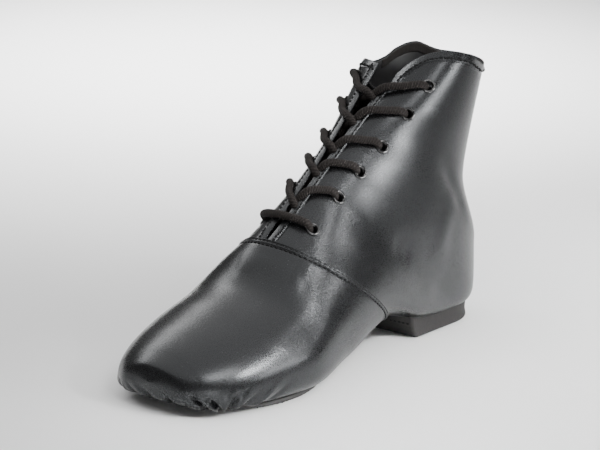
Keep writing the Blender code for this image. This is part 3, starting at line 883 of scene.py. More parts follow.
def repeat_tree(name, sizes, shape):
    """Build a node tree that sets one shape on every point, turned to its out and along directions."""
    tree = bpy.data.node_groups.new(name, "GeometryNodeTree")
    tree.interface.new_socket("Points", in_out="INPUT", socket_type="NodeSocketGeometry")
    for label in sizes:
        socket = tree.interface.new_socket(label, in_out="INPUT", socket_type="NodeSocketFloat")
        socket.subtype = "DISTANCE"
    tree.interface.new_socket("Unevenness", in_out="INPUT", socket_type="NodeSocketFloat")
    tree.interface.new_socket("Seed", in_out="INPUT", socket_type="NodeSocketInt")
    tree.interface.new_socket("Material", in_out="INPUT", socket_type="NodeSocketMaterial")
    tree.interface.new_socket("Geometry", in_out="OUTPUT", socket_type="NodeSocketGeometry")
    given = tree.nodes.new("NodeGroupInput").outputs

    def node(kind, settings=(), sockets=(), output=0):
        made = tree.nodes.new(kind)
        for label, value in dict(settings).items():
            setattr(made, label, value)
        for label, value in dict(sockets).items():
            if isinstance(value, bpy.types.NodeSocket):
                tree.links.new(value, made.inputs[label])
            else:
                made.inputs[label].default_value = value
        return made.outputs[output]

    directions = {
        label: node("GeometryNodeInputNamedAttribute", {"data_type": "FLOAT_VECTOR"}, {"Name": label})
        for label in ("out", "along")
    }
    turn = node("FunctionNodeAxesToRotation", {"primary_axis": "Z", "secondary_axis": "X"},
                {"Primary Axis": directions["out"], "Secondary Axis": directions["along"]})
    low = node("ShaderNodeMath", {"operation": "SUBTRACT"}, {0: 1.0, 1: given["Unevenness"]})
    high = node("ShaderNodeMath", {"operation": "ADD"}, {0: 1.0, 1: given["Unevenness"]})
    size = node("FunctionNodeRandomValue", {"data_type": "FLOAT_VECTOR"},
                {"Min": low, "Max": high, "Seed": given["Seed"]})
    instances = node("GeometryNodeInstanceOnPoints", {}, {
        "Points": given["Points"], "Instance": shape(node, given), "Rotation": turn, "Scale": size})
    smooth = node("GeometryNodeSetShadeSmooth", {}, {"Geometry": instances})
    real = node("GeometryNodeRealizeInstances", {}, {"Geometry": smooth})
    painted = node("GeometryNodeSetMaterial", {}, {"Geometry": real, "Material": given["Material"]})
    tree.links.new(painted, tree.nodes.new("NodeGroupOutput").inputs["Geometry"])
    return tree


def bead_shape(node, given):
    """Return a long bead: a stitch, or a stroke of the tread."""
    ball = node("GeometryNodeMeshUVSphere", {}, {
        "Segments": BEAD_SEGMENTS, "Rings": BEAD_RINGS, "Radius": 0.5})
    size = node("ShaderNodeCombineXYZ", {}, {
        "X": given["Length"], "Y": given["Width"], "Z": given["Height"]})
    return node("GeometryNodeTransform", {}, {"Geometry": ball, "Scale": size})


def ring_shape(node, given):
    """Return an eyelet: a rolled ring on a short barrel."""
    ring = node("GeometryNodeCurvePrimitiveCircle", {}, {
        "Resolution": RING_SEGMENTS, "Radius": given["Ring radius"]})
    roll = node("GeometryNodeCurvePrimitiveCircle", {}, {
        "Resolution": ROLL_SEGMENTS, "Radius": given["Roll radius"]})
    rolled = node("GeometryNodeCurveToMesh", {}, {"Curve": ring, "Profile Curve": roll})
    barrel = node("GeometryNodeCurvePrimitiveCircle", {}, {
        "Resolution": RING_SEGMENTS, "Radius": given["Barrel radius"]})
    wall = node("GeometryNodeCurvePrimitiveQuadrilateral", {}, {
        "Width": given["Barrel wall"], "Height": given["Barrel height"]})
    tube = node("GeometryNodeCurveToMesh", {}, {"Curve": barrel, "Profile Curve": wall})
    drop = node("ShaderNodeMath", {"operation": "MULTIPLY"}, {0: given["Barrel height"], 1: -0.5})
    place = node("ShaderNodeCombineXYZ", {}, {"Z": drop})
    sunk = node("GeometryNodeTransform", {}, {"Geometry": tube, "Translation": place})
    joined = node("GeometryNodeJoinGeometry", {}, {"Geometry": rolled})
    joined.node.id_data.links.new(sunk, joined.node.inputs["Geometry"])
    return joined


def knob_shape(node, given):
    """Return a low four-sided knob of the heel's tread."""
    return node("GeometryNodeMeshCone", {"fill_type": "NGON"}, {
        "Vertices": KNOB_CORNERS, "Radius Top": given["Top radius"], "Radius Bottom": given["Foot radius"],
        "Depth": given["Height"]}, "Mesh")


def repeated_mesh(name, shape, sizes, points, out, along, material, unevenness=0.0, seed=1):
    """Set a shape on points of the last by Geometry Nodes, and return the plain mesh."""
    mesh = bpy.data.meshes.new(name)
    mesh.from_pydata(to_frame(points), [], [])
    for label, values in (("out", out), ("along", along)):
        attribute = mesh.attributes.new(label, "FLOAT_VECTOR", "POINT")
        attribute.data.foreach_set("vector", np.ascontiguousarray(values, np.float32).ravel())
    holder = bpy.data.objects.new(name, mesh)
    bpy.context.scene.collection.objects.link(holder)
    tree = repeat_tree(name, sizes, shape)
    modifier = holder.modifiers.new(name, "NODES")
    modifier.node_group = tree
    values = {label: size * MM for label, size in sizes.items()}
    values |= {"Unevenness": unevenness, "Seed": seed, "Material": material}
    for item in tree.interface.items_tree:
        if item.in_out == "INPUT" and item.name in values:
            modifier[item.identifier] = values[item.name]
    made = plain_mesh(name, holder)
    if not len(made.polygons):
        raise RuntimeError(f"{name} came out empty")
    return made


def even_path(points, pitch):
    """Return points at an even pitch along a path, and the path's direction at each."""
    points = np.asarray(points, float)
    travel = travelled(points)
    places = np.arange(pitch / 2, travel[-1], pitch)
    at = [np.stack([np.interp(place, travel, points[:, axis]) for axis in range(3)], axis=1)
          for place in (places - PATH_PROBE, places, places + PATH_PROBE)]
    return at[1], unit(at[2] - at[0])


def flowing_path(points, pitch):
    """Return a smooth path through points, sampled at a pitch."""
    points = np.asarray(points, float)
    lengths = step_lengths(points)
    slopes = np.gradient(points, travelled(points), axis=0)
    pieces = []
    for start, end, first, second, length in zip(points, points[1:], slopes, slopes[1:], lengths):
        count = max(2, int(round(length / pitch)))
        part = np.linspace(0, 1, count, endpoint=False)[:, None]
        pieces.append(eased(part, length, start, end, first, second))
    return np.concatenate(pieces + [points[-1:]])


def on_surface(points, piece):
    """Return points moved onto a piece's surface, and the surface's directions there."""
    tree = BVHTree.FromObject(piece, bpy.context.evaluated_depsgraph_get())
    places = []
    normals = []
    for point in to_frame(points):
        place, normal, _, _ = tree.find_nearest(Vector(point))
        places.append(place)
        normals.append(normal)
    return (np.array(places) - ORIGIN) / MM, np.array(normals)


def vamp_angles():
    """Return the vamp's columns round the section, close together along the seam under the arch."""
    half = np.union1d(np.linspace(0, math.pi, VAMP_COLUMNS + 1), math.pi - np.array(ARCH_SEAM_COLUMNS))
    return np.concatenate([-half[:0:-1], half])


def vamp_line(distance, angles):
    """Return t along the vamp at a distance before its seam edge."""
    return np.array([t_back_from(SEAM, lambda t: np.full_like(t, angle), distance) for angle in angles])


def arch_groove(points, angles):
    """Return the depth of the seam under the arch, with the grooves of its stitches."""
    under = np.abs(angles) > ARCH_SEAM_ANGLE
    x = points[..., 0]
    window = ramp(x, ARCH_SEAM_X[0] - ARCH_SEAM_FADE[0], ARCH_SEAM_X[0])
    window = window * ramp(x, ARCH_SEAM_X[1] + ARCH_SEAM_FADE[1], ARCH_SEAM_X[1])
    width = np.abs(points[..., 1])
    return under * window * (relief(width, ARCH_JOINT) + relief(width - ARCH_STITCH, ARCH_GROOVE))


def make_vamp(context):
    """Make the vamp, from the gathered toe to the raised edge of its seam."""
    thickness = context.scene.jazz_boot_sizes.leather / MM
    angles = vamp_angles()
    seam_t = vamp_line(np.array(SEAM_ROWS, float), angles).T
    share = np.concatenate([
        np.linspace(0, TOE_SHARE, TOE_ROWS, endpoint=False),
        np.linspace(TOE_SHARE, 1, INSTEP_ROWS, endpoint=False)])
    t = np.concatenate([share[:, None] * seam_t[0], seam_t])
    distance = np.full(t.shape, FAR_FROM_SEAM)
    distance[-len(SEAM_ROWS):] = np.array(SEAM_ROWS)[:, None]
    points = last_point(t, angles)
    height = fold_height(points, VAMP_FOLDS) * ramp(distance, *VAMP_FOLDS_FROM_SEAM)
    height += pleat_height(points)
    height -= arch_groove(points, angles)
    face = height + relief(distance - VAMP_RIDGE, SEAM_RIDGE)
    for line in VAMP_STITCH_LINES:
        face = face - relief(distance - line, SEAM_GROOVE)
    drop = rim_drop(distance, thickness)
    outer = raised(t, angles, face - drop)
    inner = raised(t, angles, height - thickness + drop)
    for grid in (outer, inner):
        grid[0] = grid[0].mean(axis=0)
    kept = np.union1d(np.arange(0, len(inner), 2), len(inner) - 1)
    mesh = mesh_from_grids("vamp", (outer, inner[kept]))
    put("vamp", mesh, finish(black_leather), "leather", "upper")


def quarter_edge(side):
    """Return the open edge of a quarter: up the facing, round the corner and back along the collar."""
    facing_t = np.linspace(SEAM, collar_end(0, side), SEARCH_STEPS)
    facing = last_point(facing_t, quarter_angle(facing_t, 0, side))
    shares = np.linspace(0, 1, SEARCH_STEPS) ** FACING_CROWDING
    ends = np.array([collar_end(share, side) for share in shares])
    collar = last_point(ends, quarter_angle(ends, shares, side))
    return np.concatenate([facing, collar[1:]])


def distance_to(path, points):
    """Return the distance of each grid point to a path."""
    places, _ = even_path(path, EDGE_PITCH)
    places = np.concatenate([path, places])
    tree = KDTree(len(places))
    for index, place in enumerate(places):
        tree.insert(place, index)
    tree.balance()
    found = [tree.find(point)[2] for point in points.reshape(-1, 3)]
    return np.array(found).reshape(points.shape[:-1])


def make_quarters(context):
    """Make the two quarters, with their folded and stitched edges and eyelet holes."""
    thickness = context.scene.jazz_boot_sizes.leather / MM
    shares = np.linspace(0, 1, QUARTER_COLUMNS + 1) ** FACING_CROWDING
    shares = np.union1d(shares, 1 - np.array(ARCH_SEAM_COLUMNS) / math.pi)
    rows = 1 - (1 - np.linspace(0, 1, QUARTER_ROWS + 1)) ** COLLAR_CROWDING
    for side in SIDES:
        ends = np.array([collar_end(share, side) for share in shares])
        starts = np.array([
            t_back_from(SEAM, lambda t: quarter_angle(t, share, side), QUARTER_LAP) for share in shares])
        t = starts + (ends - starts) * rows[:, None]
        angles = quarter_angles(t, shares, side)
        points = last_point(t, angles)
        edge = distance_to(quarter_edge(side), points)
        edge[:, 0] = 0
        edge[-1] = 0
        sewn = edge_distance(points, (True, False), (False, True))
        height = fold_height(points, QUARTER_FOLDS) * ramp(edge, *QUARTER_FOLDS_FROM_EDGE) - SEAM_STEP
        turned = STRIP_RISE * np.minimum(edge / STRIP_WIDTH, 1) * ramp(edge, STRIP_END, STRIP_WIDTH)
        face = height + turned - relief(edge - EDGE_STITCH, EDGE_GROOVE)
        drop = rim_drop(np.minimum(edge, sewn), thickness)
        outer = raised(t, angles, face - drop)
        inner = raised(t, angles, height - thickness + drop)
        rim = drop > thickness / 2 - RIM_CLOSE
        inner[rim] = outer[rim]
        mesh = mesh_from_grids(f"quarter_{side}", (outer, inner))
        mesh = pierced(f"quarter_{side}", mesh, side)
        put(f"quarter_{side}", mesh, finish(black_leather), "leather")


def under_collar(shares, side, distances):
    """Return t at distances under the collar line, for each column of a quarter."""
    return np.array([
        t_back_from(collar_end(share, side), lambda t: quarter_angle(t, share, side), distances)
        for share in shares])


def make_collar_band(shares, side):
    """Make the woven band inside the collar, over the columns behind the facings."""
    back = shares[shares > BAND_FROM]
    t = under_collar(back, side, BAND_INSET + np.linspace(0, BAND_WIDTH, BAND_ROWS)).T
    angles = quarter_angles(t, back, side)
    edge = edge_distance(last_point(t, angles))
    height = np.full(t.shape, -BAND_DEPTH)
    mesh = sheet_mesh(f"collar_band_{side}", t, angles, height, BAND_THICK, edge)
    flat = mesh.uv_layers.new(name="weave")
    places = np.array([mesh.vertices[loop.vertex_index].co for loop in mesh.loops]) / MM
    flat.data.foreach_set("uv", np.ascontiguousarray(places[:, (0, 2)], np.float32).ravel())
    put(f"collar_band_{side}", mesh, finish(woven_binding), "lining")


def make_lining():
    """Make the lining of the quarters and the woven band inside the collar."""
    for side in SIDES:
        crowded = np.linspace(0, 1, LINING_COLUMNS) ** LINING_CROWDING
        shares = LINING_FROM + (1 - LINING_FROM) * crowded
        ends = under_collar(shares, side, LINING_INSET)
        start = SEAM - LINING_LAP
        t = start + (ends - start) * np.linspace(0, 1, LINING_ROWS)[:, None]
        angles = quarter_angles(t, shares, side)
        points = last_point(t, angles)
        edge = edge_distance(points)
        height = fold_height(points, QUARTER_FOLDS) * ramp(edge, *QUARTER_FOLDS_FROM_EDGE) - LINING_DEPTH
        mesh = sheet_mesh(f"lining_{side}", t, angles, height, LINING_THICK, edge)
        mesh = pierced(f"lining_{side}", mesh, side)
        put(f"lining_{side}", mesh, finish(grey_lining), "lining")
        make_collar_band(shares, side)


def make_tongue():
    """Make the tongue, hung below the facings."""
    depth_at = smooth_curve(TONGUE_DEPTH["t"], TONGUE_DEPTH["depth"])
    half_width_at = smooth_curve(TONGUE_WIDTH["t"], TONGUE_WIDTH["half"])
    t = np.linspace(*TONGUE_ENDS, TONGUE_ROWS)
    section = section_of(t)
    reach = np.arcsin(2 * half_width_at(t)[:, 0] / (section.left + section.right))
    angles = reach[:, None] * np.sin(np.linspace(-math.pi / 2, math.pi / 2, TONGUE_COLUMNS))
    t = np.broadcast_to(t[:, None], angles.shape)
    edge = edge_distance(last_point(t, angles))
    mesh = sheet_mesh("tongue_leather", t, angles, -depth_at(t)[..., 0], TONGUE_THICK, edge)
    put("tongue_leather", mesh, finish(black_leather), "leather", "tongue")


def make_insole():
    """Make the sock inside on the bottom, narrower behind the vamp's seam."""
    depth_at = smooth_curve(INSOLE_DEPTH["t"], INSOLE_DEPTH["depth"])
    t = np.linspace(*INSOLE_ENDS, INSOLE_ROWS)[:, None]
    behind = np.clip((t - SEAM) / (INSOLE_ENDS[1] - SEAM), 0, 1)
    spread = INSOLE_SPREAD * (1 - INSOLE_NARROWING * behind)
    turns = np.linspace(-1, 1, INSOLE_COLUMNS)
    offset = spread * np.sign(turns) * np.abs(turns) ** INSOLE_CROWDING
    angles = np.where(offset <= 0, math.pi + offset, offset - math.pi)
    t = np.broadcast_to(t, angles.shape)
    edge = edge_distance(last_point(t, angles))
    mesh = sheet_mesh("insole_sock", t, angles, -depth_at(t)[..., 0], INSOLE_THICK, edge)
    put("insole_sock", mesh, finish(grey_lining), "lining", "insole")


def stay_grid(columns, inset=0.0):
    """Return t and angles over the back stay, in from its edges by an inset."""
    half_width_at = smooth_curve(STAY_WIDTH["t"], STAY_WIDTH["half"])
    end = min(collar_end(1, side) for side in SIDES) - STAY_UNDER_COLLAR
    t = np.linspace(STAY_FIRST, end, STAY_ROWS)
    section = section_of(t)
    width_share = 2 * (half_width_at(t)[:, 0] - inset) / (section.left + section.right)
    shares = np.linspace(-1, 1, columns)
    sine = np.abs(width_share[:, None] * shares) ** (section.low_power / 2)[:, None]
    turns = np.sign(shares) * np.arcsin(sine)
    angles = np.where(turns <= 0, math.pi + turns, turns - math.pi)
    return np.broadcast_to(t[:, None], angles.shape), angles


def make_back_stay():
    """Make the strip over the back seam."""
    t, angles = stay_grid(STAY_COLUMNS)
    points = last_point(t, angles)
    drop = rim_drop(edge_distance(points), STAY_THICK)
    sides = edge_distance(points, along=(False, False))
    outer = raised(t, angles, STAY_HEIGHT - relief(sides - STAY_STITCH, STAY_GROOVE) - drop)
    inner = raised(t, angles, STAY_HEIGHT - STAY_THICK + drop)
    mesh = mesh_from_grids("stay_leather", (outer, inner))
    put("stay_leather", mesh, finish(black_leather), "leather", "back_stay")


def inset_rings(outline, levels):
    """Return rings of points, each an outline moved in by an inset at its own level."""
    before = np.roll(outline, 1, axis=0)
    after = np.roll(outline, -1, axis=0)
    run = after - before
    inward = unit(np.stack([-run[:, 1], run[:, 0]], axis=1))
    rings = []
    for inset, level in levels:
        flat = outline + inward * np.asarray(inset).reshape(-1, 1)
        rings.append(np.column_stack([flat, np.broadcast_to(level, len(flat))]))
    return np.array(rings)


def ringed_mesh(name, rings):
    """Make a closed smooth mesh from rings of points, with a flat cap at each end."""
    count = rings.shape[1]
    index = np.arange(rings.shape[0] * count).reshape(-1, count)
    following = np.roll(index, -1, axis=1)
    sides = np.stack([index[:-1], following[:-1], following[1:], index[1:]], axis=-1).reshape(-1, 4)
    faces = sides.tolist() + [index[0][::-1].tolist(), index[-1].tolist()]
    mesh = bpy.data.meshes.new(name)
    mesh.from_pydata(to_frame(rings.reshape(-1, 3)), [], faces)
    mesh.shade_smooth()
    return mesh


def block_mesh(name, rings):
    """Make a moulded block from stacked rings, sharp at its edges."""
    mesh = ringed_mesh(name, rings)
    mesh.set_sharp_from_angle(angle=SHARP_ANGLE)
    return mesh


def patch_outline():
    """Return the forefoot sole's outline, an oval that narrows a little towards the heel."""
    turns = np.linspace(0, 2 * math.pi, PATCH_POINTS, endpoint=False)
    x = PATCH_CENTRE_X + PATCH_LENGTH / 2 * np.cos(turns)
    y = PATCH_WIDTH / 2 * np.sin(turns) * (1 + PATCH_TAPER * np.cos(turns))
    return np.stack([x, y], axis=-1)


def heel_outline():
    """Return the heel's outline: a straight breast, round corners, straight sides and a round back."""
    half = HEEL_WIDTH / 2
    corner = np.linspace(0, math.pi / 2, HEEL_CORNER_POINTS)
    corner_x = HEEL_BREAST_X - HEEL_CORNER + HEEL_CORNER * np.cos(corner)
    corner_y = half - HEEL_CORNER + HEEL_CORNER * np.sin(corner)
    side_x = np.linspace(HEEL_BREAST_X - HEEL_CORNER, HEEL_ROUND_X, HEEL_SIDE_POINTS)[1:-1]
    back = np.linspace(math.pi / 2, math.pi, HEEL_BACK_POINTS)
    back_x = HEEL_ROUND_X + (HEEL_ROUND_X - HEEL_BACK_X) * np.cos(back)
    x = np.concatenate([[HEEL_BREAST_X], corner_x, side_x, back_x])
    y = np.concatenate([[half / 2], corner_y, np.full(side_x.shape, half), half * np.sin(back)])
    other = slice(-2, None, -1)
    return np.column_stack([np.concatenate([x, x[other]]), np.concatenate([y, -y[other]])])


def tread_mesh(name, shape, sizes, places, level, along, material, unevenness=0.0, seed=1):
    """Make a tread: one shape at each place of the underside, at a level over the floor."""
    points = np.column_stack([places, np.full(len(places), level)])
    out = np.tile((0.0, 0.0, -1.0), (len(points), 1))
    return repeated_mesh(name, shape, sizes, points, out, along, material, unevenness, seed)


def stroke_places(pitch, chance):
    """Return scattered places for the strokes of the forefoot sole, inside its oval."""
    half_length = PATCH_LENGTH / 2
    half_width = PATCH_WIDTH / 2
    x, y = np.meshgrid(np.arange(PATCH_CENTRE_X - half_length, PATCH_CENTRE_X + half_length, pitch),
                       np.arange(-half_width, half_width, pitch))
    scatter = chance.uniform(-STROKE_SCATTER, STROKE_SCATTER, (x.size, 2))
    places = np.column_stack([x.ravel(), y.ravel()]) + scatter * pitch
    lengthwise = (places[:, 0] - PATCH_CENTRE_X) / (half_length - STROKE_MARGIN)
    crosswise = places[:, 1] / (half_width - STROKE_MARGIN) / (1 + PATCH_TAPER * lengthwise)
    return places[lengthwise**2 + crosswise**2 < 1]


def make_forefoot_sole(context):
    """Make the oval rubber patch under the ball and toes, crinkled with short strokes."""
    sizes = context.scene.jazz_boot_sizes
    chance = np.random.default_rng(sizes.seed)
    material = finish(crinkled_sole_rubber)
    outline = patch_outline()
    levels = []
    for inset, level in PATCH_LEVELS:
        ragged = PATCH_RAGGED * np.abs(chance.normal(size=len(outline)))
        levels.append((inset + ragged, level))
    mesh = block_mesh("sole_patch", inset_rings(outline, levels))
    put("sole_patch", mesh, material, "sole_rubber", "forefoot_sole")
    places = stroke_places(sizes.stroke_pitch / MM, chance)
    turns = chance.uniform(0, math.pi, len(places))
    along = np.column_stack([np.cos(turns), np.sin(turns), np.zeros(len(places))])
    mesh = tread_mesh("sole_strokes", bead_shape, STROKE, places, STROKE_LEVEL, along, material,
                      STROKE_UNEVENNESS, sizes.seed)
    put("sole_strokes", mesh, material, "sole_rubber")


def seat_level(places):
    """Return the upper's level over places of the heel, or the heel's own height where that is more."""
    levels = []
    trees = [BVHTree.FromObject(bpy.data.objects[name], bpy.context.evaluated_depsgraph_get())
             for name in ("quarter_left", "quarter_right", "vamp")]
    for x, y in places:
        start = Vector(to_frame((x, y, 0)))
        found = [tree.ray_cast(start, Vector((0, 0, 1)), HEEL_SEAT_REACH * MM)[3] for tree in trees]
        hits = [distance / MM for distance in found if distance is not None]
        levels.append(max(HEEL_HEIGHT, min(hits) + HEEL_SEAT_LAP) if hits else HEEL_HEIGHT)
    return np.array(levels)


def knob_places(pitch):
    """Return the places of the heel's knobs: every other crossing of a square grid, inside the outline."""
    half = HEEL_WIDTH / 2
    x, y = np.meshgrid(np.arange(HEEL_BACK_X, HEEL_BREAST_X, pitch), np.arange(-half, half, pitch))
    odd = (np.add(*np.indices(x.shape)) % 2).astype(bool)
    places = np.column_stack([x[odd], y[odd]])
    back = np.minimum(0, places[:, 0] - HEEL_ROUND_X) / (HEEL_ROUND_X - HEEL_BACK_X - KNOB_MARGIN)
    inside = back**2 + (places[:, 1] / (half - KNOB_MARGIN)) ** 2 < 1
    inside &= places[:, 0] < HEEL_BREAST_X - KNOB_MARGIN
    return places[inside]


def make_heel(context):
    """Make the low rubber heel, with its leaning breast and knobbed tread."""
    material = finish(heel_rubber)
    rings = inset_rings(heel_outline(), HEEL_LEVELS)
    forward = np.clip((rings[..., 0] - HEEL_ROUND_X) / (HEEL_BREAST_X - HEEL_ROUND_X), 0, 1)
    rings[..., 0] += HEEL_BREAST_LEAN * forward * rings[..., 2] / HEEL_HEIGHT
    rise = seat_level(rings[HEEL_SEAT_RING, :, :2]) - HEEL_HEIGHT
    rings[..., 2] += ramp(rings[..., 2], HEEL_SEAT_FROM, HEEL_HEIGHT) * rise
    put("heel_block", block_mesh("heel_block", rings), material, "heel_rubber", "heel")
    places = knob_places(context.scene.jazz_boot_sizes.knob_pitch / MM / math.sqrt(2))
    along = np.tile((1.0, 0.0, 0.0), (len(places), 1))
    mesh = tread_mesh("heel_knobs", knob_shape, KNOB, places, KNOB_LEVEL, along, material)
    put("heel_knobs", mesh, material, "heel_rubber")


def make_eyelets(context):
    """Set the twelve eyelets into the facings."""
    sizes = context.scene.jazz_boot_sizes
    places = [eyelet_place(index, side) for side in SIDES for index in range(EYELET_COUNT)]
    t, angles = np.array(places).T
    points = raised(t, angles, np.full(t.shape, RING_LIFT - SEAM_STEP))
    out = last_normal(t, angles)
    along = last_point(t + NORMAL_STEP, angles) - last_point(t - NORMAL_STEP, angles)
    roll = sizes.eyelet_roll / MM
    ring = {"Ring radius": sizes.eyelet_radius / MM - roll, "Roll radius": roll} | BARREL
    material = finish(black_japanned_metal)
    mesh = repeated_mesh("eyelet_rings", ring_shape, ring, points, out, along, material)
    nodes = [f"eyelet_{side}_{index + 1}" for side in SIDES for index in range(EYELET_COUNT)]
    put("eyelet_rings", mesh, material, "eyelet_metal", *nodes)


def dive(index, side):
    """Return the lace's way into an eyelet, against the side of the hole that is next to the throat."""
    t, angle = eyelet_place(index, side)
    turn = angle / EYELET_OFFSETS[index]
    return [(t, angle - turn * back, height) for back, height in DIVE]


def strand(index, side):
    """Return the lace from under one eyelet, out through the throat and over to the next one up."""
    other = "right" if side == "left" else "left"
    t_low, low = eyelet_place(index, side)
    t_high, high = eyelet_place(index + 1, other)
    step = t_high - t_low
    run = TOP_RUN if other == "right" else LOW_RUN
    gap = {name: facing_angle(t_low + 0.5 * step, name) + THROAT_CLEAR for name in SIDES}
    stations = [(t_low + inside.step * step, inside.turn * low, INSIDE_RUN + inside.lift)
                for inside in INSIDE_STATIONS]
    stations += [
        (t_low + run.out * step, SIDES[side] * gap[side], INSIDE_RUN + THROAT_LIFT),
        (t_low + run.middle * step, 0.0, run.middle_height),
        (t_low + run.edge * step, SIDES[other] * gap[other], OVER_RUN + OVER_LIFT),
        (t_low + run.over * step, OVER_SHARE * high, OVER_RUN + OVER_LIFT),
    ]
    return np.array(stations + dive(index + 1, other))


def lace_stations():
    """Return the whole lace as t, angle and height: down one way, over the bar and up the other."""
    t, left = eyelet_place(0, "left")
    right = eyelet_place(0, "right")[1]
    bar = dive(0, "left")[:0:-1]
    for share, lift in BAR_LINE:
        bar.append((t, left + (right - left) * share, OVER_RUN + lift))
    bar += dive(0, "right")[1:]
    order = range(EYELET_COUNT - 1)
    down = [strand(index, "left" if index % 2 == 0 else "right")[::-1] for index in reversed(order)]
    up = [strand(index, "right" if index % 2 == 0 else "left") for index in order]
    return np.concatenate(down + [bar] + up)


def tube_mesh(name, path, radius, sides):
    """Make a round cord along a path, with a map that runs round it and along it in millimetres."""
    travel = travelled(path)
    run = unit(np.gradient(path, travel, axis=0))
    across = np.cross(run[0], LACE_START_ACROSS)
    rings = []
    turns = np.linspace(0, 2 * math.pi, sides, endpoint=False)[:, None]
    for place, direction in zip(path, run):
        across = unit(across - direction * (across @ direction))
        rings.append(place + radius * (np.cos(turns) * across + np.sin(turns) * np.cross(direction, across)))
    mesh = ringed_mesh(name, np.array(rings))
    around = np.arange(sides) / sides
    first, second = np.meshgrid(around, travel[:-1])
    third, fourth = np.meshgrid(around + 1 / sides, travel[1:])
    corners = [(first, second), (third, second), (third, fourth), (first, fourth)]
    flat = np.stack([np.stack(corner, axis=-1) for corner in corners], axis=2).reshape(-1, 2)
    flat = np.concatenate([flat, np.zeros((2 * sides, 2))])
    layer = mesh.uv_layers.new(name="braid")
    layer.data.foreach_set("uv", np.ascontiguousarray(flat, np.float32).ravel())
    return mesh


def make_lace():
    """Run the lace through the eyelets, from one top eyelet down to the bar and up to the other."""
    stations = lace_stations()
    points = raised(stations[:, 0], stations[:, 1], stations[:, 2])
    apart = np.concatenate([[True], step_lengths(points) > STATION_GAP])
    path = flowing_path(points[apart], LACE_PITCH)
    nodes = ["lace_bar"] + [f"lace_cross_{index}" for index in range(1, EYELET_COUNT)]
    mesh = tube_mesh("lace", path, LACE_RADIUS, LACE_SIDES)
    put("lace", mesh, finish(braided_cord), "lace_cord", *nodes)


def stitch_rows():
    """Return the lines of the stitches: vamp seam, facings and collar, back stay, arch seam, heel breast.

    Each line comes with the piece that it is sewn on.
    """
    pieces = bpy.data.objects
    angles = vamp_angles()
    rows = []
    for line in VAMP_STITCH_LINES:
        rows.append((last_point(vamp_line(line, angles), angles), pieces["vamp"]))
    for side, sign in SIDES.items():
        edge = quarter_edge(side)
        run = np.gradient(edge, axis=0)
        outward = on_surface(edge, pieces[f"quarter_{side}"])[1]
        inward = unit(np.cross(outward, run) * -sign)
        rows.append((edge + EDGE_STITCH * inward, pieces[f"quarter_{side}"]))
    t, stay_angles = stay_grid(2, STAY_STITCH)
    for column in (0, -1):
        rows.append((last_point(t[:, column], stay_angles[:, column]), pieces["stay_leather"]))
    arch_t = np.linspace(*ARCH_SEAM_T, ARCH_SEAM_POINTS)
    for sign in SIDES.values():
        line = last_point(arch_t, math.pi)
        line[:, 1] = sign * ARCH_STITCH
        line = line[(line[:, 0] > ARCH_SEAM_X[0]) & (line[:, 0] < ARCH_SEAM_X[1])]
        rows.append((line, pieces["vamp"]))
    reach = HEEL_WIDTH / 2 - BREAST_STITCH_MARGIN
    level = HEEL_HEIGHT - BREAST_STITCH_DROP
    breast = np.full((BREAST_STITCH_POINTS, 3), HEEL_BREAST_X + HEEL_BREAST_LEAN * level / HEEL_HEIGHT)
    breast[:, 1] = np.linspace(-reach, reach, BREAST_STITCH_POINTS)
    breast[:, 2] = level
    rows.append((breast, pieces["heel_block"]))
    return rows


def make_stitches(context):
    """Sew the rows of stitches on the made pieces."""
    sizes = context.scene.jazz_boot_sizes
    pitch = sizes.stitch_pitch / MM
    places = []
    outs = []
    alongs = []
    for path, piece in stitch_rows():
        points, along = even_path(path, pitch)
        points, out = on_surface(points, piece)
        places.append(points + STITCH_LIFT * out)
        outs.append(out)
        alongs.append(along)
    material = finish(black_thread)
    mesh = repeated_mesh("stitches", bead_shape, STITCH, np.concatenate(places), np.concatenate(outs),
                         np.concatenate(alongs), material, STITCH_UNEVENNESS, sizes.seed)
    put("stitches", mesh, material, "lace_cord")


def hang(softbox, strength):
    """Hang a soft rectangular light, with a grid that narrows its spread."""
    data = bpy.data.lights.new(softbox.name, "AREA")
    data.shape = "RECTANGLE"
    data.size, data.size_y = softbox.size
    data.spread = math.radians(softbox.spread)
    data.energy = softbox.power * strength
    made = bpy.data.objects.new(softbox.name, data)
    made.location = to_frame(softbox.place)
    run = Vector(to_frame(softbox.aim)) - made.location
    made.rotation_euler = run.to_track_quat("-Z", "Y").to_euler()
    bpy.context.scene.collection.objects.link(made)


def lay_floor(scene):
    """Lay the pale floor."""
    mesh = bpy.data.meshes.new("floor")
    shape = bmesh.new()
    bmesh.ops.create_grid(shape, x_segments=1, y_segments=1, size=scene.jazz_boot_stage.floor_size)
    shape.to_mesh(mesh)
    shape.free()
    mesh.materials.append(finish(pale_floor))
    floor = bpy.data.objects.new("floor", mesh)
    scene.collection.objects.link(floor)


def light_studio(scene):
    """Light the scene softly from all round, and hang the softboxes."""
    stage = scene.jazz_boot_stage
    world = bpy.data.worlds.new("pale studio")
    world.use_nodes = True
    sky = world.node_tree.nodes["Background"]
    sky.inputs["Color"].default_value = shade(stage.sky_colour, 1.0)
    sky.inputs["Strength"].default_value = stage.sky_strength
    scene.world = world
    for softbox in SOFTBOXES:
        hang(softbox, stage.lamp_strength)


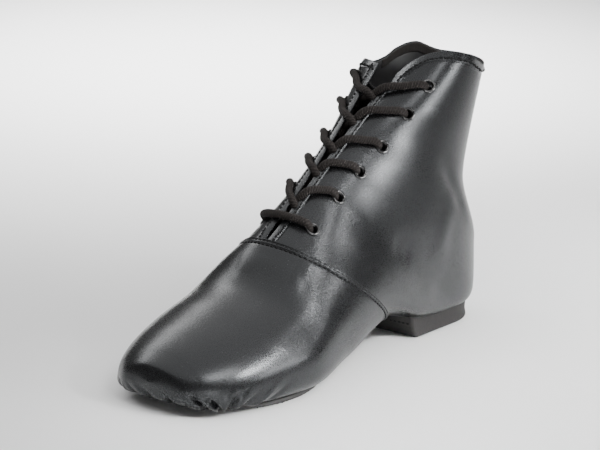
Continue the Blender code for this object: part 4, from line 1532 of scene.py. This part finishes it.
def set_camera(scene):
    """Set the camera at the stage's turn, rise, roll and distance."""
    stage = scene.jazz_boot_stage
    turn = stage.azimuth
    rise = stage.elevation
    back = np.array((math.cos(turn) * math.cos(rise), math.sin(turn) * math.cos(rise), math.sin(rise)))
    place = np.array(CAMERA_CENTRE) + stage.distance / MM * back
    back = unit(place - np.array(CAMERA_AIM))
    right = unit(np.cross((0, 0, 1), back))
    up = np.cross(back, right)
    rolled_right = right * math.cos(stage.roll) + up * math.sin(stage.roll)
    rolled_up = up * math.cos(stage.roll) - right * math.sin(stage.roll)
    data = bpy.data.cameras.new("camera")
    data.sensor_width = SENSOR_WIDTH
    data.lens = SENSOR_WIDTH * FOCAL_PIXELS / IMAGE_WIDTH
    data.clip_end = CAMERA_REACH
    camera = bpy.data.objects.new("camera", data)
    matrix = np.eye(4)
    matrix[:3, :3] = np.column_stack([rolled_right, rolled_up, back])
    matrix[:3, 3] = to_frame(place)
    camera.matrix_world = Matrix(matrix)
    scene.collection.objects.link(camera)
    bpy.context.scene.camera = camera


def make_stage(context):
    """Lay the floor, hang the lights and set the camera."""
    lay_floor(context.scene)
    light_studio(context.scene)
    set_camera(context.scene)


def length_setting(label, text, default):
    """Return a property for a length in metres."""
    return FloatProperty(
        name=label, description=text, default=default, unit="LENGTH", subtype="DISTANCE", precision=5)


def angle_setting(label, text, default):
    """Return a property for an angle, given in degrees."""
    return FloatProperty(name=label, description=text, default=math.radians(default), subtype="ANGLE")


def strength_setting(label, text, default):
    """Return a property for a strength."""
    return FloatProperty(name=label, description=text, default=default, min=0, subtype="FACTOR")


def colour_setting(label, text, default):
    """Return a property for a colour."""
    return FloatVectorProperty(name=label, description=text, default=default, subtype="COLOR", min=0, max=1)


class JazzBootSizes(bpy.types.PropertyGroup):
    """Sizes of the sewn and moulded details."""

    leather: length_setting("Leather", "Thickness of the vamp and quarters", 0.00085)
    stitch_pitch: length_setting("Stitch pitch", "Distance from one stitch to the next", 0.0026)
    stroke_pitch: length_setting("Stroke pitch", "Distance between the strokes of the forefoot sole", 0.0026)
    knob_pitch: length_setting("Knob pitch", "Distance between the knobs of the heel", 0.0024)
    eyelet_radius: length_setting("Eyelet radius", "Outer radius of an eyelet's ring", 0.00365)
    eyelet_roll: length_setting("Eyelet roll", "Radius of the rolled ring", 0.0007)
    seed: IntProperty(name="Seed", description="Start of the random draws", default=7, min=0)


class JazzBootLook(bpy.types.PropertyGroup):
    """Colours and gloss of the finishes."""

    leather: colour_setting("Leather", "Black leather", (0.0058, 0.0059, 0.0063))
    lining: colour_setting("Lining", "Grey lining and sock", (0.035, 0.035, 0.036))
    cord: colour_setting("Cord", "Braided lace and woven band", (0.023, 0.0198, 0.0186))
    thread: colour_setting("Thread", "Stitching", (0.006, 0.006, 0.0063))
    sole_rubber: colour_setting("Sole rubber", "Forefoot sole", (0.050, 0.049, 0.048))
    heel_rubber: colour_setting("Heel rubber", "Heel block", (0.015, 0.0135, 0.013))
    metal: colour_setting("Metal", "Eyelets", (0.004, 0.004, 0.0042))
    leather_roughness: FloatProperty(
        name="Leather roughness", description="Mean roughness of the leather", default=0.28, min=0, max=1,
        subtype="FACTOR")
    grain: length_setting("Grain", "Size of the leather's pebbles", 0.00065)


class JazzBootStage(bpy.types.PropertyGroup):
    """Floor, light and camera."""

    floor_size: length_setting("Floor", "Half the floor's side", 6.0)
    floor_colour: colour_setting("Floor colour", "Pale floor", (0.92, 0.92, 0.92))
    sky_colour: colour_setting("Sky colour", "Light from all round", (1.0, 1.0, 1.0))
    sky_strength: strength_setting("Sky strength", "Strength of the light from all round", 0.15)
    lamp_strength: strength_setting("Lamp strength", "Strength of the softboxes", 1.0)
    azimuth: angle_setting("Azimuth", "Camera's turn from the toe towards the wearer's left", 36.165)
    elevation: angle_setting("Elevation", "Camera's rise", 15.278)
    roll: angle_setting("Roll", "Camera's roll", 1.756)
    distance: length_setting("Distance", "Camera's distance from the shoe", 1.3011)


class JAZZBOOT_OT_vamp(bpy.types.Operator):
    """Make the vamp, gathered at the toe and sewn over the instep"""

    bl_idname = "jazz_boot.vamp"
    bl_label = "Vamp"

    def execute(self, context):
        make_vamp(context)
        return {"FINISHED"}


class JAZZBOOT_OT_quarters(bpy.types.Operator):
    """Make the two quarters with their stitched edges and eyelet holes"""

    bl_idname = "jazz_boot.quarters"
    bl_label = "Quarters"

    def execute(self, context):
        make_quarters(context)
        return {"FINISHED"}


class JAZZBOOT_OT_lining(bpy.types.Operator):
    """Make the lining and the woven band inside the collar"""

    bl_idname = "jazz_boot.lining"
    bl_label = "Lining"

    def execute(self, context):
        make_lining()
        return {"FINISHED"}


class JAZZBOOT_OT_tongue(bpy.types.Operator):
    """Make the tongue under the facings"""

    bl_idname = "jazz_boot.tongue"
    bl_label = "Tongue"

    def execute(self, context):
        make_tongue()
        return {"FINISHED"}


class JAZZBOOT_OT_insole(bpy.types.Operator):
    """Make the sock inside on the bottom"""

    bl_idname = "jazz_boot.insole"
    bl_label = "Insole"

    def execute(self, context):
        make_insole()
        return {"FINISHED"}


class JAZZBOOT_OT_back_stay(bpy.types.Operator):
    """Make the strip over the back seam"""

    bl_idname = "jazz_boot.back_stay"
    bl_label = "Back stay"

    def execute(self, context):
        make_back_stay()
        return {"FINISHED"}


class JAZZBOOT_OT_forefoot_sole(bpy.types.Operator):
    """Make the oval rubber patch and its strokes"""

    bl_idname = "jazz_boot.forefoot_sole"
    bl_label = "Forefoot sole"

    def execute(self, context):
        make_forefoot_sole(context)
        return {"FINISHED"}


class JAZZBOOT_OT_heel(bpy.types.Operator):
    """Make the rubber heel and its knobs"""

    bl_idname = "jazz_boot.heel"
    bl_label = "Heel"

    def execute(self, context):
        make_heel(context)
        return {"FINISHED"}


class JAZZBOOT_OT_eyelets(bpy.types.Operator):
    """Set the twelve eyelets into the facings"""

    bl_idname = "jazz_boot.eyelets"
    bl_label = "Eyelets"

    def execute(self, context):
        make_eyelets(context)
        return {"FINISHED"}


class JAZZBOOT_OT_lace(bpy.types.Operator):
    """Run the lace through the eyelets"""

    bl_idname = "jazz_boot.lace"
    bl_label = "Lace"

    def execute(self, context):
        make_lace()
        return {"FINISHED"}


class JAZZBOOT_OT_stitches(bpy.types.Operator):
    """Sew the rows of stitches on the made pieces"""

    bl_idname = "jazz_boot.stitches"
    bl_label = "Stitches"

    def execute(self, context):
        make_stitches(context)
        return {"FINISHED"}


class JAZZBOOT_OT_stage(bpy.types.Operator):
    """Lay the floor, hang the lights and set the camera"""

    bl_idname = "jazz_boot.stage"
    bl_label = "Stage"

    def execute(self, context):
        make_stage(context)
        return {"FINISHED"}


OPERATORS = (
    JAZZBOOT_OT_vamp,
    JAZZBOOT_OT_quarters,
    JAZZBOOT_OT_lining,
    JAZZBOOT_OT_tongue,
    JAZZBOOT_OT_insole,
    JAZZBOOT_OT_back_stay,
    JAZZBOOT_OT_forefoot_sole,
    JAZZBOOT_OT_heel,
    JAZZBOOT_OT_eyelets,
    JAZZBOOT_OT_lace,
    JAZZBOOT_OT_stitches,
    JAZZBOOT_OT_stage,
)


class JAZZBOOT_PT_sidebar(bpy.types.Panel):
    """Settings and pieces of the boot"""

    bl_idname = "JAZZBOOT_PT_sidebar"
    bl_label = "Jazz Ankle Boot"
    bl_space_type = "VIEW_3D"
    bl_region_type = "UI"
    bl_category = "Jazz Boot"

    def draw(self, context):
        layout = self.layout
        scene = context.scene
        for settings in (scene.jazz_boot_sizes, scene.jazz_boot_look, scene.jazz_boot_stage):
            box = layout.box()
            for name in settings.__annotations__:
                box.prop(settings, name)
        for operator in OPERATORS:
            layout.operator(operator.bl_idname)


CLASSES = (JazzBootSizes, JazzBootLook, JazzBootStage) + OPERATORS + (JAZZBOOT_PT_sidebar,)


def register():
    for made in CLASSES:
        bpy.utils.register_class(made)
    bpy.types.Scene.jazz_boot_sizes = PointerProperty(type=JazzBootSizes)
    bpy.types.Scene.jazz_boot_look = PointerProperty(type=JazzBootLook)
    bpy.types.Scene.jazz_boot_stage = PointerProperty(type=JazzBootStage)


def unregister():
    del bpy.types.Scene.jazz_boot_stage
    del bpy.types.Scene.jazz_boot_look
    del bpy.types.Scene.jazz_boot_sizes
    for made in reversed(CLASSES):
        bpy.utils.unregister_class(made)


def main():
    """Register the add-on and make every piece."""
    register()
    bpy.ops.jazz_boot.vamp()
    bpy.ops.jazz_boot.quarters()
    bpy.ops.jazz_boot.lining()
    bpy.ops.jazz_boot.tongue()
    bpy.ops.jazz_boot.insole()
    bpy.ops.jazz_boot.back_stay()
    bpy.ops.jazz_boot.forefoot_sole()
    bpy.ops.jazz_boot.heel()
    bpy.ops.jazz_boot.eyelets()
    bpy.ops.jazz_boot.lace()
    bpy.ops.jazz_boot.stitches()
    bpy.ops.jazz_boot.stage()


if __name__ == "__main__":
    main()
